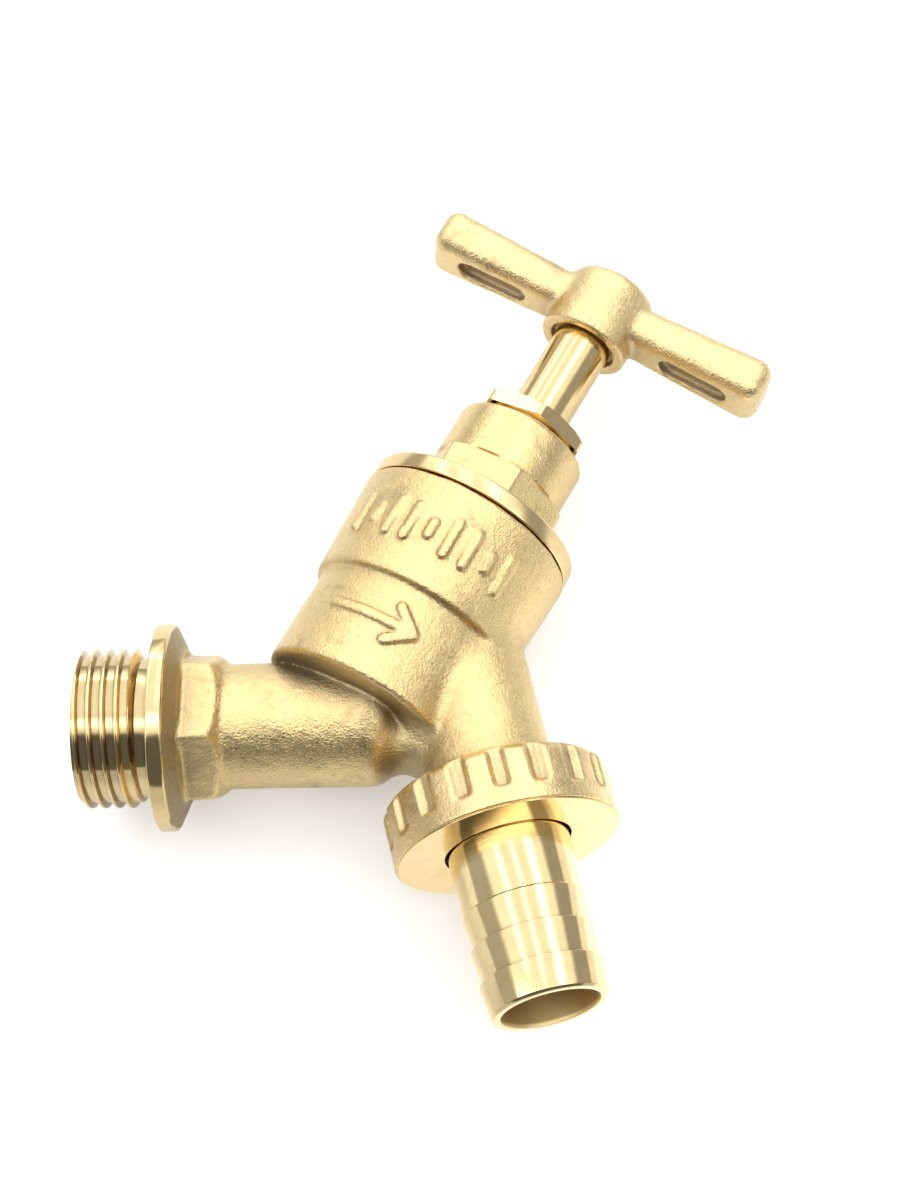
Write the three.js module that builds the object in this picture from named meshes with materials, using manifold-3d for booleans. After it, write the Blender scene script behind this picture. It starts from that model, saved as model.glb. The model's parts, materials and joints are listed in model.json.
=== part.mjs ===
// Half-inch hose-union bib tap (hose bib) in brass, with a crutch handle. Millimetres, +Z up.
// The origin is the centre of the wall flange's sealing face. +X runs from the wall towards the spout,
// +Z is up, and the inlet, the spindle and the outlet all have their axes in the plane Y = 0.
import * as THREE from "three";
import { mergeVertices } from "three/addons/utils/BufferGeometryUtils.js";
import Module from "manifold-3d";

const wasm = await Module();
wasm.setup();

// ---------- driving dimensions ----------
const { degToRad } = THREE.MathUtils;
const GAP = 0.3; // clearance between pieces that touch
const SIDES = 40; // facets round a large turned surface
const FEW_SIDES = 24; // facets round a small or hidden one
const REACH = 1; // how far a cutter runs past the face that it opens

// The three axes. Heights along the spindle axis, s, count from where it crosses the inlet axis.
// Depths along the outlet axis, t, count downwards from where it crosses the inlet axis.
const SPINDLE_X = 24.8;
const SPINDLE_TILT = degToRad(28.8);
const OUTLET_X = 41.3;
const OUTLET_TILT = degToRad(13.6);

// Pipe threads: G 1/2 at the inlet and G 3/4 at the outlet, both 14 to the inch.
const PIPE_PITCH = 1.814;
const PIPE_DEPTH = 1.16;
const INLET_THREAD_R = 10.48;
const OUTLET_THREAD_R = 13.22;

// Inlet, along X
const INLET_END = -10.3;
const RELIEF_LENGTH = 2.1;
const RELIEF_R = 9.2;
const FLANGE_R = 13.65;
const FLANGE_RIM = 2.0;
const HEX_START = 3.5;
const HEX_END = 8.4;
const INLET_HEX_R = 10.38;
const TUBE_R = 8.2;
const TUBE_START = 10.1;
const TUBE_END = 31;
const INLET_BORE_R = 6;
const INLET_BORE_END = 29;

// Seat barrel and boss, along the spindle axis
const BARREL_BOTTOM = 2.2;
const BARREL_R = 13.55;
const BOSS_BOTTOM = 16.2;
const BOSS_BOTTOM_R = 14.5;
const BOSS_TOP_R = 15.2;
const BOSS_TOP = 31.2;
const SEAT_BORE_R = 5;
const SEAT_RING_R = 6.8;
const SEAT_TOP = 7;
const CHAMBER_FLOOR = 5.5;
const CHAMBER_R = 10.8;
const MOUTH_THREAD_START = 21;
const MOUTH_R = 12.5;
const WASHER_RECESS_R = 13.7;
const WASHER_RECESS_FLOOR = 30;

// Spout, along the outlet axis
const SPOUT_R = 8.5;
const SPOUT_BORE_R = 6;
const SPOUT_ROOT = -19;
const OUTLET_THREAD_START = 10;
const OUTLET_END = 13.4;

// Bonnet, gland and spindle, along the spindle axis
const BONNET_THREAD_R = 12.2;
const BONNET_BOTTOM = 22;
const BONNET_FLANGE_R = 15;
const BONNET_FLANGE_TOP = 33.9;
const BONNET_HEX_R = 10.66;
const BONNET_HEX_TOP = 40;
const BONNET_HEX_TURN = degToRad(-64.5);
const STUFFING_BOX_R = 9.3;
const STUFFING_BOX_TOP = 47.3;
const SPINDLE_BORE_R = 7;
const SPINDLE_BORE_TOP = 40.8;
const PACKING_FLOOR = 42;
const PACKING_BOX_R = 6.6;
const STEM_HOLE_R = 4.45;
const PACKING_R = 6.2;
const PACKING_TOP = 45;
const FOLLOWER_TOP = 46.4;
const GLAND_THREAD_R = 6.3;
const GLAND_HEX_BOTTOM = 48.7;
const GLAND_HEX_TOP = 50.8;
const GLAND_HEX_R = 8.2;
const GLAND_HEX_TURN = degToRad(-73.7);

// The spindle is drawn open by two turns of its 2.5 mm pitch, so it and the jumper stand OPEN_LIFT above shut.
const OPEN_LIFT = 5;
const SPINDLE_PITCH = 2.5;
const SPINDLE_THREAD_DEPTH = 0.8;
const SPINDLE_THREAD_R = 6.7;
const SPINDLE_THREAD_START = OPEN_LIFT + 20.5;
const SPINDLE_THREAD_END = OPEN_LIFT + 33;
const SPINDLE_FOOT_R = 4.6;
const STEM_R = 4.15;
const STEM_TOP = 66.4;
const SQUARE_TOP = 73.3;
const SQUARE_HALF = 2.9;

// Jumper valve
const JUMPER_WASHER_R = 6.9;
const JUMPER_WASHER_THICK = 3;
const JUMPER_WASHER_BOTTOM = OPEN_LIFT + SEAT_TOP + GAP;
const JUMPER_PLATE_BOTTOM = JUMPER_WASHER_BOTTOM + JUMPER_WASHER_THICK + GAP;
const JUMPER_PLATE_TOP = JUMPER_PLATE_BOTTOM + 2;
const JUMPER_PLATE_R = 7.2;
const JUMPER_STEM_R = 2.4;
const JUMPER_STEM_LENGTH = 9;
const JUMPER_STUD_R = 1.9;
const JUMPER_NUT_THICK = 2.4;
const JUMPER_NUT_R = 3.75;

// Crutch handle: its arms lie along a line turned HANDLE_TURN round the spindle
const HANDLE_TURN = degToRad(5.5);
const HUB_R = 6.4;
const HUB_BOTTOM = 64.9;
const HUB_TOP = 75;
const HUB_RECESS_R = 4.85;
const HUB_RECESS_TOP = 66.2;
const ARM_HEIGHT = 70.6;
const ARM_LENGTH = 25.6;
const ARM_ROOT = { halfWidth: 3.5, halfThick: 2.8 };
const ARM_TIP = { halfWidth: 4.5, halfThick: 3.4 };
const ARM_EDGE = 1.6;
const SLOT_FROM = 10.7;
const SLOT_TO = 21.1;
const SLOT_HALF_WIDTH = 1.8;
const SLOT_DEPTH = 1.4;
const GRUB_R = 2;
const GRUB_FROM = 3.4;
const GRUB_TO = 6;

// Union, along the outlet axis
const HOSE_WASHER_R = 12.3;
const HOSE_WASHER_BORE_R = 7;
const HOSE_WASHER_THICK = 1.2;
const COLLAR_TOP = OUTLET_END + HOSE_WASHER_THICK + 2 * GAP;
const COLLAR_THICK = 1.24;
const COLLAR_R = 12.2;
const UNION_TOP = 10;
const UNION_BOTTOM = 18;
const UNION_R = 14.8;
const UNION_THREAD_R = 13.55;
const UNION_HOLE_R = 8.32;
const UNION_GROOVES = 18;
const UNION_GROOVE_R = 1.4;
const UNION_GROOVE_END = 15.7;
const UNION_GROOVE_PHASE = degToRad(2);
const TAIL_R = 7.95;
const TAIL_BORE_R = 6.36;
const TAIL_END = 40;
const BARB_STARTS = [26.5, 30.9, 35.5];
const BARB_R = 8.15;
const BARB_FOOT_R = 7.55;

// ---------- frames: local +Z is the axis of the inlet, the spindle or the outlet ----------
const inletFrame = new THREE.Matrix4().makeRotationY(Math.PI / 2);
const spindleFrame = new THREE.Matrix4().makeRotationY(SPINDLE_TILT).setPosition(SPINDLE_X, 0, 0);
const outletFrame = new THREE.Matrix4().makeRotationY(Math.PI - OUTLET_TILT).setPosition(OUTLET_X, 0, 0);

// ---------- shape helpers ----------

// A surface turned about +Z from an outline of [radius, height] points, closed on itself or on the axis.
function turned(outline, sides = SIDES) {
  const points = outline.map(([radius, height]) => new THREE.Vector2(radius, height));
  if (outline[0][0] > 0) points.push(points[0].clone());
  const anticlockwise = THREE.ShapeUtils.area(points) > 0;
  if (!anticlockwise) points.reverse();
  return new THREE.LatheGeometry(points, sides).rotateX(Math.PI / 2);
}

// A ring or tube with square edges.
function ring(innerR, outerR, from, to, sides = SIDES) {
  return turned([[innerR, from], [outerR, from], [outerR, to], [innerR, to]], sides);
}

// A plain round bar.
function bar(radius, from, to, sides = SIDES) {
  return turned([[0, from], [radius, from], [radius, to], [0, to]], sides);
}

// A regular hexagonal bar, with a corner on local +X before it is turned.
function hexBar(cornerR, from, to, turn = 0) {
  const geometry = new THREE.CylinderGeometry(cornerR, cornerR, to - from, 6);
  geometry.rotateX(Math.PI / 2).rotateZ(turn + Math.PI / 2);
  return geometry.translate(0, 0, (from + to) / 2);
}

// A closed skin through rings of points that all have the same number of points.
function lofted(rings) {
  const count = rings[0].length;
  const last = rings.length - 1;
  const positions = rings.flat().flatMap((point) => point.toArray());
  const faces = [];
  for (let row = 0; row < last; row += 1) {
    for (let i = 0; i < count; i += 1) {
      const next = (i + 1) % count;
      const [a, b] = [row * count + i, row * count + next];
      faces.push(a, b, b + count, a, b + count, a + count);
    }
  }
  for (let i = 1; i < count - 1; i += 1) {
    faces.push(0, i + 1, i);
    faces.push(last * count, last * count + i, last * count + i + 1);
  }
  const geometry = new THREE.BufferGeometry();
  geometry.setAttribute("position", new THREE.Float32BufferAttribute(positions, 3));
  return geometry.setIndex(faces);
}

// The tooth outline of an annular thread, as [radius, height] points from one height to another.
function threadOutline(majorR, depth, pitch, from, to) {
  const teeth = Math.floor((to - from) / pitch + 0.01);
  const step = (to - from) / teeth;
  const points = [];
  for (let tooth = 0; tooth < teeth; tooth += 1) {
    const base = from + tooth * step;
    points.push([majorR - depth, base]);
    points.push([majorR, base + 0.4 * step]);
    points.push([majorR, base + 0.6 * step]);
  }
  return [...points, [majorR - depth, to]];
}

// A manifold-3d solid from a closed three.js geometry, optionally moved by a frame.
function solid(geometry, frame = new THREE.Matrix4()) {
  const bare = geometry.clone().applyMatrix4(frame);
  bare.deleteAttribute("normal");
  bare.deleteAttribute("uv");
  const merged = mergeVertices(bare, 1e-4);
  const triVerts = new Uint32Array(merged.index.array);
  return new wasm.Manifold(new wasm.Mesh({ numProp: 3, vertProperties: merged.attributes.position.array, triVerts }));
}

function joined(solids) {
  return solids.reduce((whole, piece) => whole.add(piece));
}

function cut(whole, cutters) {
  return cutters.reduce((left, cutter) => left.subtract(cutter), whole);
}

// The three.js geometry of a manifold-3d solid.
function geometryOf(made) {
  const mesh = made.getMesh();
  const geometry = new THREE.BufferGeometry();
  geometry.setAttribute("position", new THREE.Float32BufferAttribute(mesh.vertProperties, 3));
  geometry.setIndex([...mesh.triVerts]);
  geometry.computeVertexNormals();
  return geometry;
}

// ---------- materials ----------
const castBrass = { color: 0xc8ab63, roughness: 0.45, metalness: 1 };
const machinedBrass = { color: 0xdcb862, roughness: 0.18, metalness: 1 };
const blackRubber = { color: 0x1c1c1e, roughness: 0.8, metalness: 0 };
const redFibre = { color: 0x8c3b2a, roughness: 0.9, metalness: 0 };
const whitePacking = { color: 0xe6e2d8, roughness: 0.85, metalness: 0 };
const darkSteel = { color: 0x4a4a4d, roughness: 0.4, metalness: 1 };

function part(name, geometry, finish) {
  const mesh = new THREE.Mesh(geometry, new THREE.MeshStandardMaterial(finish));
  mesh.name = name;
  return mesh;
}

// ---------- valve body ----------

// Male thread, relief neck, flange with a conical back, and the inlet tube with its rounded end.
function inletOutside() {
  const tubeEnd = [[TUBE_R, TUBE_END - 3.6], [TUBE_R - 0.6, TUBE_END - 1.8], [TUBE_R - 2, TUBE_END - 0.4]];
  return turned([
    [0, INLET_END],
    ...threadOutline(INLET_THREAD_R, PIPE_DEPTH, PIPE_PITCH, INLET_END, -RELIEF_LENGTH),
    [RELIEF_R, -RELIEF_LENGTH],
    [RELIEF_R, 0],
    [FLANGE_R, 0],
    [FLANGE_R, FLANGE_RIM],
    [INLET_HEX_R, HEX_START],
    [TUBE_R + 0.4, HEX_START],
    [TUBE_R + 0.4, HEX_END],
    [TUBE_R, TUBE_START],
    ...tubeEnd,
    [0, TUBE_END],
  ]);
}

function barrelAndBossOutside() {
  return turned([
    [0, BARREL_BOTTOM],
    [BARREL_R - 0.7, BARREL_BOTTOM],
    [BARREL_R, BARREL_BOTTOM + 0.7],
    [BARREL_R, BOSS_BOTTOM],
    [BOSS_BOTTOM_R, BOSS_BOTTOM + 0.3],
    [BOSS_TOP_R, BOSS_TOP - 0.6],
    [BOSS_TOP_R - 0.4, BOSS_TOP],
    [0, BOSS_TOP],
  ]);
}

// Spout neck, its flare and the outlet thread.
function spoutOutside() {
  return turned([
    [0, SPOUT_ROOT],
    [SPOUT_R, SPOUT_ROOT],
    [SPOUT_R, OUTLET_THREAD_START - 2.5],
    [OUTLET_THREAD_R - PIPE_DEPTH, OUTLET_THREAD_START],
    ...threadOutline(OUTLET_THREAD_R, PIPE_DEPTH, PIPE_PITCH, OUTLET_THREAD_START, OUTLET_END),
    [0, OUTLET_END],
  ]);
}

// The space round the raised seat ring, the chamber above it and the threaded mouth for the bonnet.
function valveChamber() {
  return turned([
    [0, SEAT_TOP],
    [SEAT_RING_R, SEAT_TOP],
    [SEAT_RING_R, CHAMBER_FLOOR],
    [CHAMBER_R, CHAMBER_FLOOR],
    [CHAMBER_R, MOUTH_THREAD_START],
    [MOUTH_R, MOUTH_THREAD_START],
    [MOUTH_R, WASHER_RECESS_FLOOR],
    [WASHER_RECESS_R, WASHER_RECESS_FLOOR],
    [WASHER_RECESS_R, BOSS_TOP + REACH],
    [0, BOSS_TOP + REACH],
  ]);
}

function valveBody() {
  const outside = joined([
    solid(inletOutside(), inletFrame),
    solid(hexBar(INLET_HEX_R, HEX_START - 0.8, HEX_END), inletFrame),
    solid(barrelAndBossOutside(), spindleFrame),
    solid(spoutOutside(), outletFrame),
  ]);
  return geometryOf(cut(outside, [
    solid(bar(INLET_BORE_R, INLET_END - REACH, INLET_BORE_END, FEW_SIDES), inletFrame),
    solid(bar(SEAT_BORE_R, BARREL_BOTTOM, SEAT_TOP + REACH, FEW_SIDES), spindleFrame),
    solid(valveChamber(), spindleFrame),
    solid(bar(SPOUT_BORE_R, SPOUT_ROOT, OUTLET_END + REACH, FEW_SIDES), outletFrame),
  ]));
}

// ---------- bonnet, gland and spindle ----------

// A hexagon whose corners are chamfered by a cone at one end.
function chamferedHex(cornerR, from, to, turn, flatEndR) {
  const hex = solid(hexBar(cornerR, from, to, turn));
  const cone = solid(turned([
    [0, from - REACH],
    [cornerR + REACH, from - REACH],
    [cornerR + REACH, to - 0.6 * (cornerR + REACH - flatEndR)],
    [flatEndR, to],
    [0, to],
  ]));
  return hex.intersect(cone);
}

function bonnet() {
  const round = solid(turned([
    [0, BONNET_BOTTOM],
    ...threadOutline(BONNET_THREAD_R, 0.8, 2, BONNET_BOTTOM, WASHER_RECESS_FLOOR),
    [BONNET_THREAD_R - 0.8, BOSS_TOP + GAP],
    [BONNET_FLANGE_R, BOSS_TOP + GAP],
    [BONNET_FLANGE_R, BONNET_FLANGE_TOP - 0.3],
    [BONNET_FLANGE_R - 0.3, BONNET_FLANGE_TOP],
    [STUFFING_BOX_R, BONNET_FLANGE_TOP],
    [STUFFING_BOX_R, STUFFING_BOX_TOP - 0.5],
    [STUFFING_BOX_R - 0.5, STUFFING_BOX_TOP],
    [0, STUFFING_BOX_TOP],
  ]));
  const hex = chamferedHex(BONNET_HEX_R, BONNET_FLANGE_TOP - 0.5, BONNET_HEX_TOP, BONNET_HEX_TURN, STUFFING_BOX_R);
  const stemHole = solid(bar(STEM_HOLE_R, SPINDLE_BORE_TOP - REACH, PACKING_FLOOR + REACH, FEW_SIDES));
  const packingBox = solid(bar(PACKING_BOX_R, PACKING_FLOOR, STUFFING_BOX_TOP + REACH, FEW_SIDES));
  const threadedBore = solid(turned([
    [0, BONNET_BOTTOM - REACH],
    [SPINDLE_BORE_R, BONNET_BOTTOM - REACH],
    ...threadOutline(SPINDLE_BORE_R + 0.6, 0.6, SPINDLE_PITCH, BONNET_BOTTOM, SPINDLE_BORE_TOP - 2),
    [SPINDLE_BORE_R, SPINDLE_BORE_TOP],
    [0, SPINDLE_BORE_TOP],
  ], FEW_SIDES));
  return geometryOf(cut(round.add(hex), [stemHole, packingBox, threadedBore]));
}

function glandNut() {
  const neck = solid(turned([
    [0, FOLLOWER_TOP + GAP],
    ...threadOutline(GLAND_THREAD_R, 0.5, 1, FOLLOWER_TOP + GAP, GLAND_HEX_BOTTOM),
    [0, GLAND_HEX_BOTTOM],
  ], FEW_SIDES));
  const head = chamferedHex(GLAND_HEX_R, GLAND_HEX_BOTTOM, GLAND_HEX_TOP, GLAND_HEX_TURN, GLAND_HEX_R - 0.8);
  const hole = solid(bar(STEM_HOLE_R, FOLLOWER_TOP, GLAND_HEX_TOP + REACH, FEW_SIDES));
  return geometryOf(neck.add(head).subtract(hole));
}

function spindle() {
  const foot = JUMPER_PLATE_TOP + GAP;
  const round = solid(turned([
    [0, foot],
    [SPINDLE_FOOT_R, foot],
    [SPINDLE_FOOT_R, SPINDLE_THREAD_START],
    ...threadOutline(SPINDLE_THREAD_R, SPINDLE_THREAD_DEPTH, SPINDLE_PITCH, SPINDLE_THREAD_START, SPINDLE_THREAD_END),
    [STEM_R, SPINDLE_THREAD_END],
    [STEM_R, STEM_TOP],
    [0, STEM_TOP],
  ], FEW_SIDES));
  const squareLength = SQUARE_TOP - STEM_TOP + REACH;
  const square = new THREE.BoxGeometry(2 * SQUARE_HALF, 2 * SQUARE_HALF, squareLength);
  square.rotateZ(HANDLE_TURN).translate(0, 0, SQUARE_TOP - squareLength / 2);
  const jumperHole = solid(bar(JUMPER_STEM_R + GAP, foot - REACH, foot + JUMPER_STEM_LENGTH + REACH, FEW_SIDES));
  return geometryOf(round.add(solid(square)).subtract(jumperHole));
}

// ---------- jumper valve ----------

function jumperValve() {
  const stemTop = JUMPER_PLATE_TOP + JUMPER_STEM_LENGTH;
  const studBottom = JUMPER_WASHER_BOTTOM - GAP - JUMPER_NUT_THICK;
  return turned([
    [0, studBottom],
    [JUMPER_STUD_R, studBottom],
    [JUMPER_STUD_R, JUMPER_PLATE_BOTTOM],
    [JUMPER_PLATE_R, JUMPER_PLATE_BOTTOM],
    [JUMPER_PLATE_R, JUMPER_PLATE_TOP],
    [JUMPER_STEM_R, JUMPER_PLATE_TOP],
    [JUMPER_STEM_R, stemTop],
    [0, stemTop],
  ], FEW_SIDES);
}

function jumperWasherNut() {
  const top = JUMPER_WASHER_BOTTOM - GAP;
  const bottom = top - JUMPER_NUT_THICK;
  const hole = solid(bar(JUMPER_STUD_R + GAP, bottom - REACH, top + REACH, FEW_SIDES));
  return geometryOf(solid(hexBar(JUMPER_NUT_R, bottom, top)).subtract(hole));
}

// ---------- handle ----------

// A rounded rectangle of the arm's section, at a distance along the arm, shrunk by inset.
function armSection(along, side, inset) {
  const share = along / ARM_LENGTH;
  const halfWidth = THREE.MathUtils.lerp(ARM_ROOT.halfWidth, ARM_TIP.halfWidth, share) - inset;
  const halfThick = THREE.MathUtils.lerp(ARM_ROOT.halfThick, ARM_TIP.halfThick, share) - inset;
  const edge = ARM_EDGE - 0.4 * inset;
  const points = [];
  for (let corner = 0; corner < 4; corner += 1) {
    const signY = corner === 0 || corner === 3 ? 1 : -1;
    const signZ = corner < 2 ? 1 : -1;
    for (let step = 0; step <= 3; step += 1) {
      const angle = ((corner + step / 3) * Math.PI) / 2;
      const y = signY * (halfWidth - edge) + edge * Math.cos(angle);
      const z = signZ * (halfThick - edge) + edge * Math.sin(angle);
      points.push(new THREE.Vector3(side * along, side * y, ARM_HEIGHT + z));
    }
  }
  return points;
}

function arm(side) {
  return lofted([
    armSection(0, side, 0),
    armSection(ARM_LENGTH - 1.6, side, 0),
    armSection(ARM_LENGTH - 0.5, side, 0.45),
    armSection(ARM_LENGTH, side, 1.2),
  ]);
}

// The long cored recess under an arm, with round ends.
function armSlot(side) {
  const middle = side * (SLOT_FROM + SLOT_TO) / 2;
  const straight = (SLOT_TO - SLOT_FROM) / 2 - SLOT_HALF_WIDTH;
  const outline = new THREE.Shape();
  outline.absarc(straight, 0, SLOT_HALF_WIDTH, -Math.PI / 2, Math.PI / 2);
  outline.absarc(-straight, 0, SLOT_HALF_WIDTH, Math.PI / 2, 1.5 * Math.PI);
  const floor = ARM_HEIGHT - 3.1 + SLOT_DEPTH;
  const depth = SLOT_DEPTH + 2 * REACH;
  const cutter = new THREE.ExtrudeGeometry(outline, { depth, bevelEnabled: false, curveSegments: 6 });
  return cutter.translate(middle, 0, floor - depth);
}

function crutchHandle() {
  const hub = solid(turned([
    [0, HUB_BOTTOM],
    [HUB_R - 0.3, HUB_BOTTOM],
    [HUB_R, HUB_BOTTOM + 0.3],
    [HUB_R, HUB_TOP - 1.6],
    [HUB_R - 0.5, HUB_TOP - 0.7],
    [HUB_R - 1.7, HUB_TOP - 0.15],
    [0, HUB_TOP],
  ]));
  const squareHole = new THREE.BoxGeometry(2 * (SQUARE_HALF + GAP), 2 * (SQUARE_HALF + GAP), SQUARE_TOP + GAP - HUB_BOTTOM);
  squareHole.translate(0, 0, (SQUARE_TOP + GAP + HUB_BOTTOM) / 2);
  const grubHole = bar(GRUB_R + GAP, 0, HUB_R + REACH, FEW_SIDES).rotateX(-Math.PI / 2).translate(0, 0, ARM_HEIGHT);
  return geometryOf(cut(joined([hub, solid(arm(1)), solid(arm(-1))]), [
    solid(armSlot(1)),
    solid(armSlot(-1)),
    solid(bar(HUB_RECESS_R, HUB_BOTTOM - REACH, HUB_RECESS_TOP + REACH, FEW_SIDES)),
    solid(squareHole),
    solid(grubHole),
  ]));
}

function handleGrubScrew() {
  const screw = solid(bar(GRUB_R, GRUB_FROM, GRUB_TO, FEW_SIDES));
  const socket = solid(hexBar(1.15, GRUB_TO - 1.4, GRUB_TO + REACH));
  return geometryOf(screw.subtract(socket)).rotateX(-Math.PI / 2).translate(0, 0, ARM_HEIGHT);
}

// ---------- union ----------

function hoseTail() {
  const barbs = BARB_STARTS.flatMap((start, index) => {
    const end = index + 1 < BARB_STARTS.length ? BARB_STARTS[index + 1] - 0.1 : TAIL_END - 0.4;
    return [[BARB_R, start], [BARB_FOOT_R, end]];
  });
  return turned([
    [TAIL_BORE_R, COLLAR_TOP],
    [COLLAR_R, COLLAR_TOP],
    [COLLAR_R, COLLAR_TOP + COLLAR_THICK],
    [TAIL_R, COLLAR_TOP + COLLAR_THICK],
    [TAIL_R, BARB_STARTS[0] - 0.1],
    ...barbs,
    [BARB_FOOT_R - 0.15, TAIL_END],
    [TAIL_BORE_R, TAIL_END],
  ]);
}

function unionNut() {
  const innerFloor = COLLAR_TOP + COLLAR_THICK + GAP;
  const threadEnd = innerFloor - 1.6;
  const nut = solid(turned([
    [UNION_THREAD_R, UNION_TOP],
    [UNION_R - 0.9, UNION_TOP],
    [UNION_R, UNION_TOP + 1],
    [UNION_R, UNION_BOTTOM - 0.5],
    [UNION_R - 0.3, UNION_BOTTOM],
    [UNION_HOLE_R, UNION_BOTTOM],
    [UNION_HOLE_R, innerFloor],
    [UNION_THREAD_R, innerFloor],
    ...threadOutline(UNION_THREAD_R + 0.4, 0.4, PIPE_PITCH, UNION_TOP + 1, threadEnd).reverse(),
  ]));
  const grooves = [];
  for (let index = 0; index < UNION_GROOVES; index += 1) {
    const angle = UNION_GROOVE_PHASE + (index * 2 * Math.PI) / UNION_GROOVES;
    const groove = turned([
      [0, UNION_TOP - REACH],
      [UNION_GROOVE_R, UNION_TOP - REACH],
      [UNION_GROOVE_R, UNION_GROOVE_END - 0.6],
      [UNION_GROOVE_R - 0.7, UNION_GROOVE_END],
      [0, UNION_GROOVE_END],
    ], 10);
    groove.translate(0, -(UNION_R + UNION_GROOVE_R - 0.75), 0).rotateZ(-angle);
    grooves.push(solid(groove));
  }
  return geometryOf(cut(nut, grooves));
}

// ---------- assembly ----------
const tap = new THREE.Group();
tap.add(part("valve_body", valveBody(), castBrass));

const alongSpindle = new THREE.Group();
alongSpindle.position.set(SPINDLE_X, 0, 0);
alongSpindle.rotation.y = SPINDLE_TILT;
tap.add(alongSpindle);
const bonnetWasher = ring(BONNET_THREAD_R + GAP, WASHER_RECESS_R - GAP, WASHER_RECESS_FLOOR + GAP, BOSS_TOP);
alongSpindle.add(part("bonnet_washer", bonnetWasher, redFibre));
alongSpindle.add(part("bonnet", bonnet(), castBrass));
const packing = ring(STEM_HOLE_R, PACKING_R, PACKING_FLOOR + GAP, PACKING_TOP, FEW_SIDES);
alongSpindle.add(part("gland_packing", packing, whitePacking));
const follower = ring(STEM_HOLE_R, PACKING_R, PACKING_TOP + GAP, FOLLOWER_TOP, FEW_SIDES);
alongSpindle.add(part("gland_follower", follower, machinedBrass));
alongSpindle.add(part("gland_nut", glandNut(), machinedBrass));
alongSpindle.add(part("jumper_valve", jumperValve(), machinedBrass));
const jumperWasherTop = JUMPER_WASHER_BOTTOM + JUMPER_WASHER_THICK;
const jumperWasher = ring(JUMPER_STUD_R + GAP, JUMPER_WASHER_R, JUMPER_WASHER_BOTTOM, jumperWasherTop, FEW_SIDES);
alongSpindle.add(part("jumper_washer", jumperWasher, blackRubber));
alongSpindle.add(part("jumper_washer_nut", jumperWasherNut(), machinedBrass));
alongSpindle.add(part("spindle", spindle(), machinedBrass));

const turnedHandle = new THREE.Group();
turnedHandle.rotation.z = HANDLE_TURN;
turnedHandle.add(part("crutch_handle", crutchHandle(), castBrass));
turnedHandle.add(part("handle_grub_screw", handleGrubScrew(), darkSteel));
alongSpindle.add(turnedHandle);

const alongOutlet = new THREE.Group();
alongOutlet.position.set(OUTLET_X, 0, 0);
alongOutlet.rotation.y = Math.PI - OUTLET_TILT;
tap.add(alongOutlet);
const hoseWasherTop = OUTLET_END + GAP;
const hoseWasher = ring(HOSE_WASHER_BORE_R, HOSE_WASHER_R, hoseWasherTop, hoseWasherTop + HOSE_WASHER_THICK);
alongOutlet.add(part("hose_washer", hoseWasher, blackRubber));
alongOutlet.add(part("hose_tail", hoseTail(), machinedBrass));
alongOutlet.add(part("union_nut", unionNut(), castBrass));

export default tap;
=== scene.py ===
"""Half-inch hose-union bib tap in brass, with a crutch handle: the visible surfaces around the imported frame.

Shapes are worked out in millimetres, and every mesh is written in metres. Heights along the spindle and the
outlet count from where each axis crosses the inlet's axis, as in the frame's joints.
"""
import json
import math

import bmesh
import bpy
import numpy as np
from mathutils import Matrix, Vector


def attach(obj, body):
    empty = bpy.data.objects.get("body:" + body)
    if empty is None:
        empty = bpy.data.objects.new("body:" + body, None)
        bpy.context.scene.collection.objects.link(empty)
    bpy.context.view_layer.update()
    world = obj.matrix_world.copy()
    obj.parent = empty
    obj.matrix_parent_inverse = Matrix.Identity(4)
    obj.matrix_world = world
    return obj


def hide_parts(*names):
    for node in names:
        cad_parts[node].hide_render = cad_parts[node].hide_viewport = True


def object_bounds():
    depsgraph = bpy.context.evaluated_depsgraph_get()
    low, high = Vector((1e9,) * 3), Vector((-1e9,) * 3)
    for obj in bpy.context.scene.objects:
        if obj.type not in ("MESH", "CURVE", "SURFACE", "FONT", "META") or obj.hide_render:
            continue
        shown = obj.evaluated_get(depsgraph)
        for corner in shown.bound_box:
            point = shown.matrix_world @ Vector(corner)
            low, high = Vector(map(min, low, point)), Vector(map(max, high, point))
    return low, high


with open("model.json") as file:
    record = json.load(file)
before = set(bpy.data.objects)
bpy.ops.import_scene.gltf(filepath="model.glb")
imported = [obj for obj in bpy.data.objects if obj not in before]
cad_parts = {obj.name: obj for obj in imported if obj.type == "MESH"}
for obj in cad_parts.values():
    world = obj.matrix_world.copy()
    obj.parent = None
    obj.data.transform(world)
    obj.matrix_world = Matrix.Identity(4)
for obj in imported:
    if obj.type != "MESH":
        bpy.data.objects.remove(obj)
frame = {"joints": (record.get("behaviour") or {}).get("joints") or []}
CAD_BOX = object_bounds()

MM = 0.001

# ---------- driving dimensions, in millimetres ----------
# The room between parts that touch in the real tap
GAP = 0.3

# Inlet, along X
PIPE_PITCH = 1.814
PIPE_DEPTH = 1.16
INLET_END = -10.3
INLET_THREAD_R = 10.48
INLET_THREAD_DEPTH = 0.75
RELIEF_LENGTH = 2.1
RELIEF_R = 9.2
FLANGE_R = 13.65
FLANGE_RIM = 2.0
CASTING_START = 1.5
INLET_HEX_R = 10.38
INLET_HEX_START = 3.5
INLET_HEX_END = 8.4
INLET_HEX_END_R = 8.9
INLET_HEX_SLOPE = 1.3
TUBE_R = 8.2
TUBE_END = 31.0
TUBE_END_ROUND = 3.6
INLET_BORE_R = 6.0
INLET_BORE_END = 29.0

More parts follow.
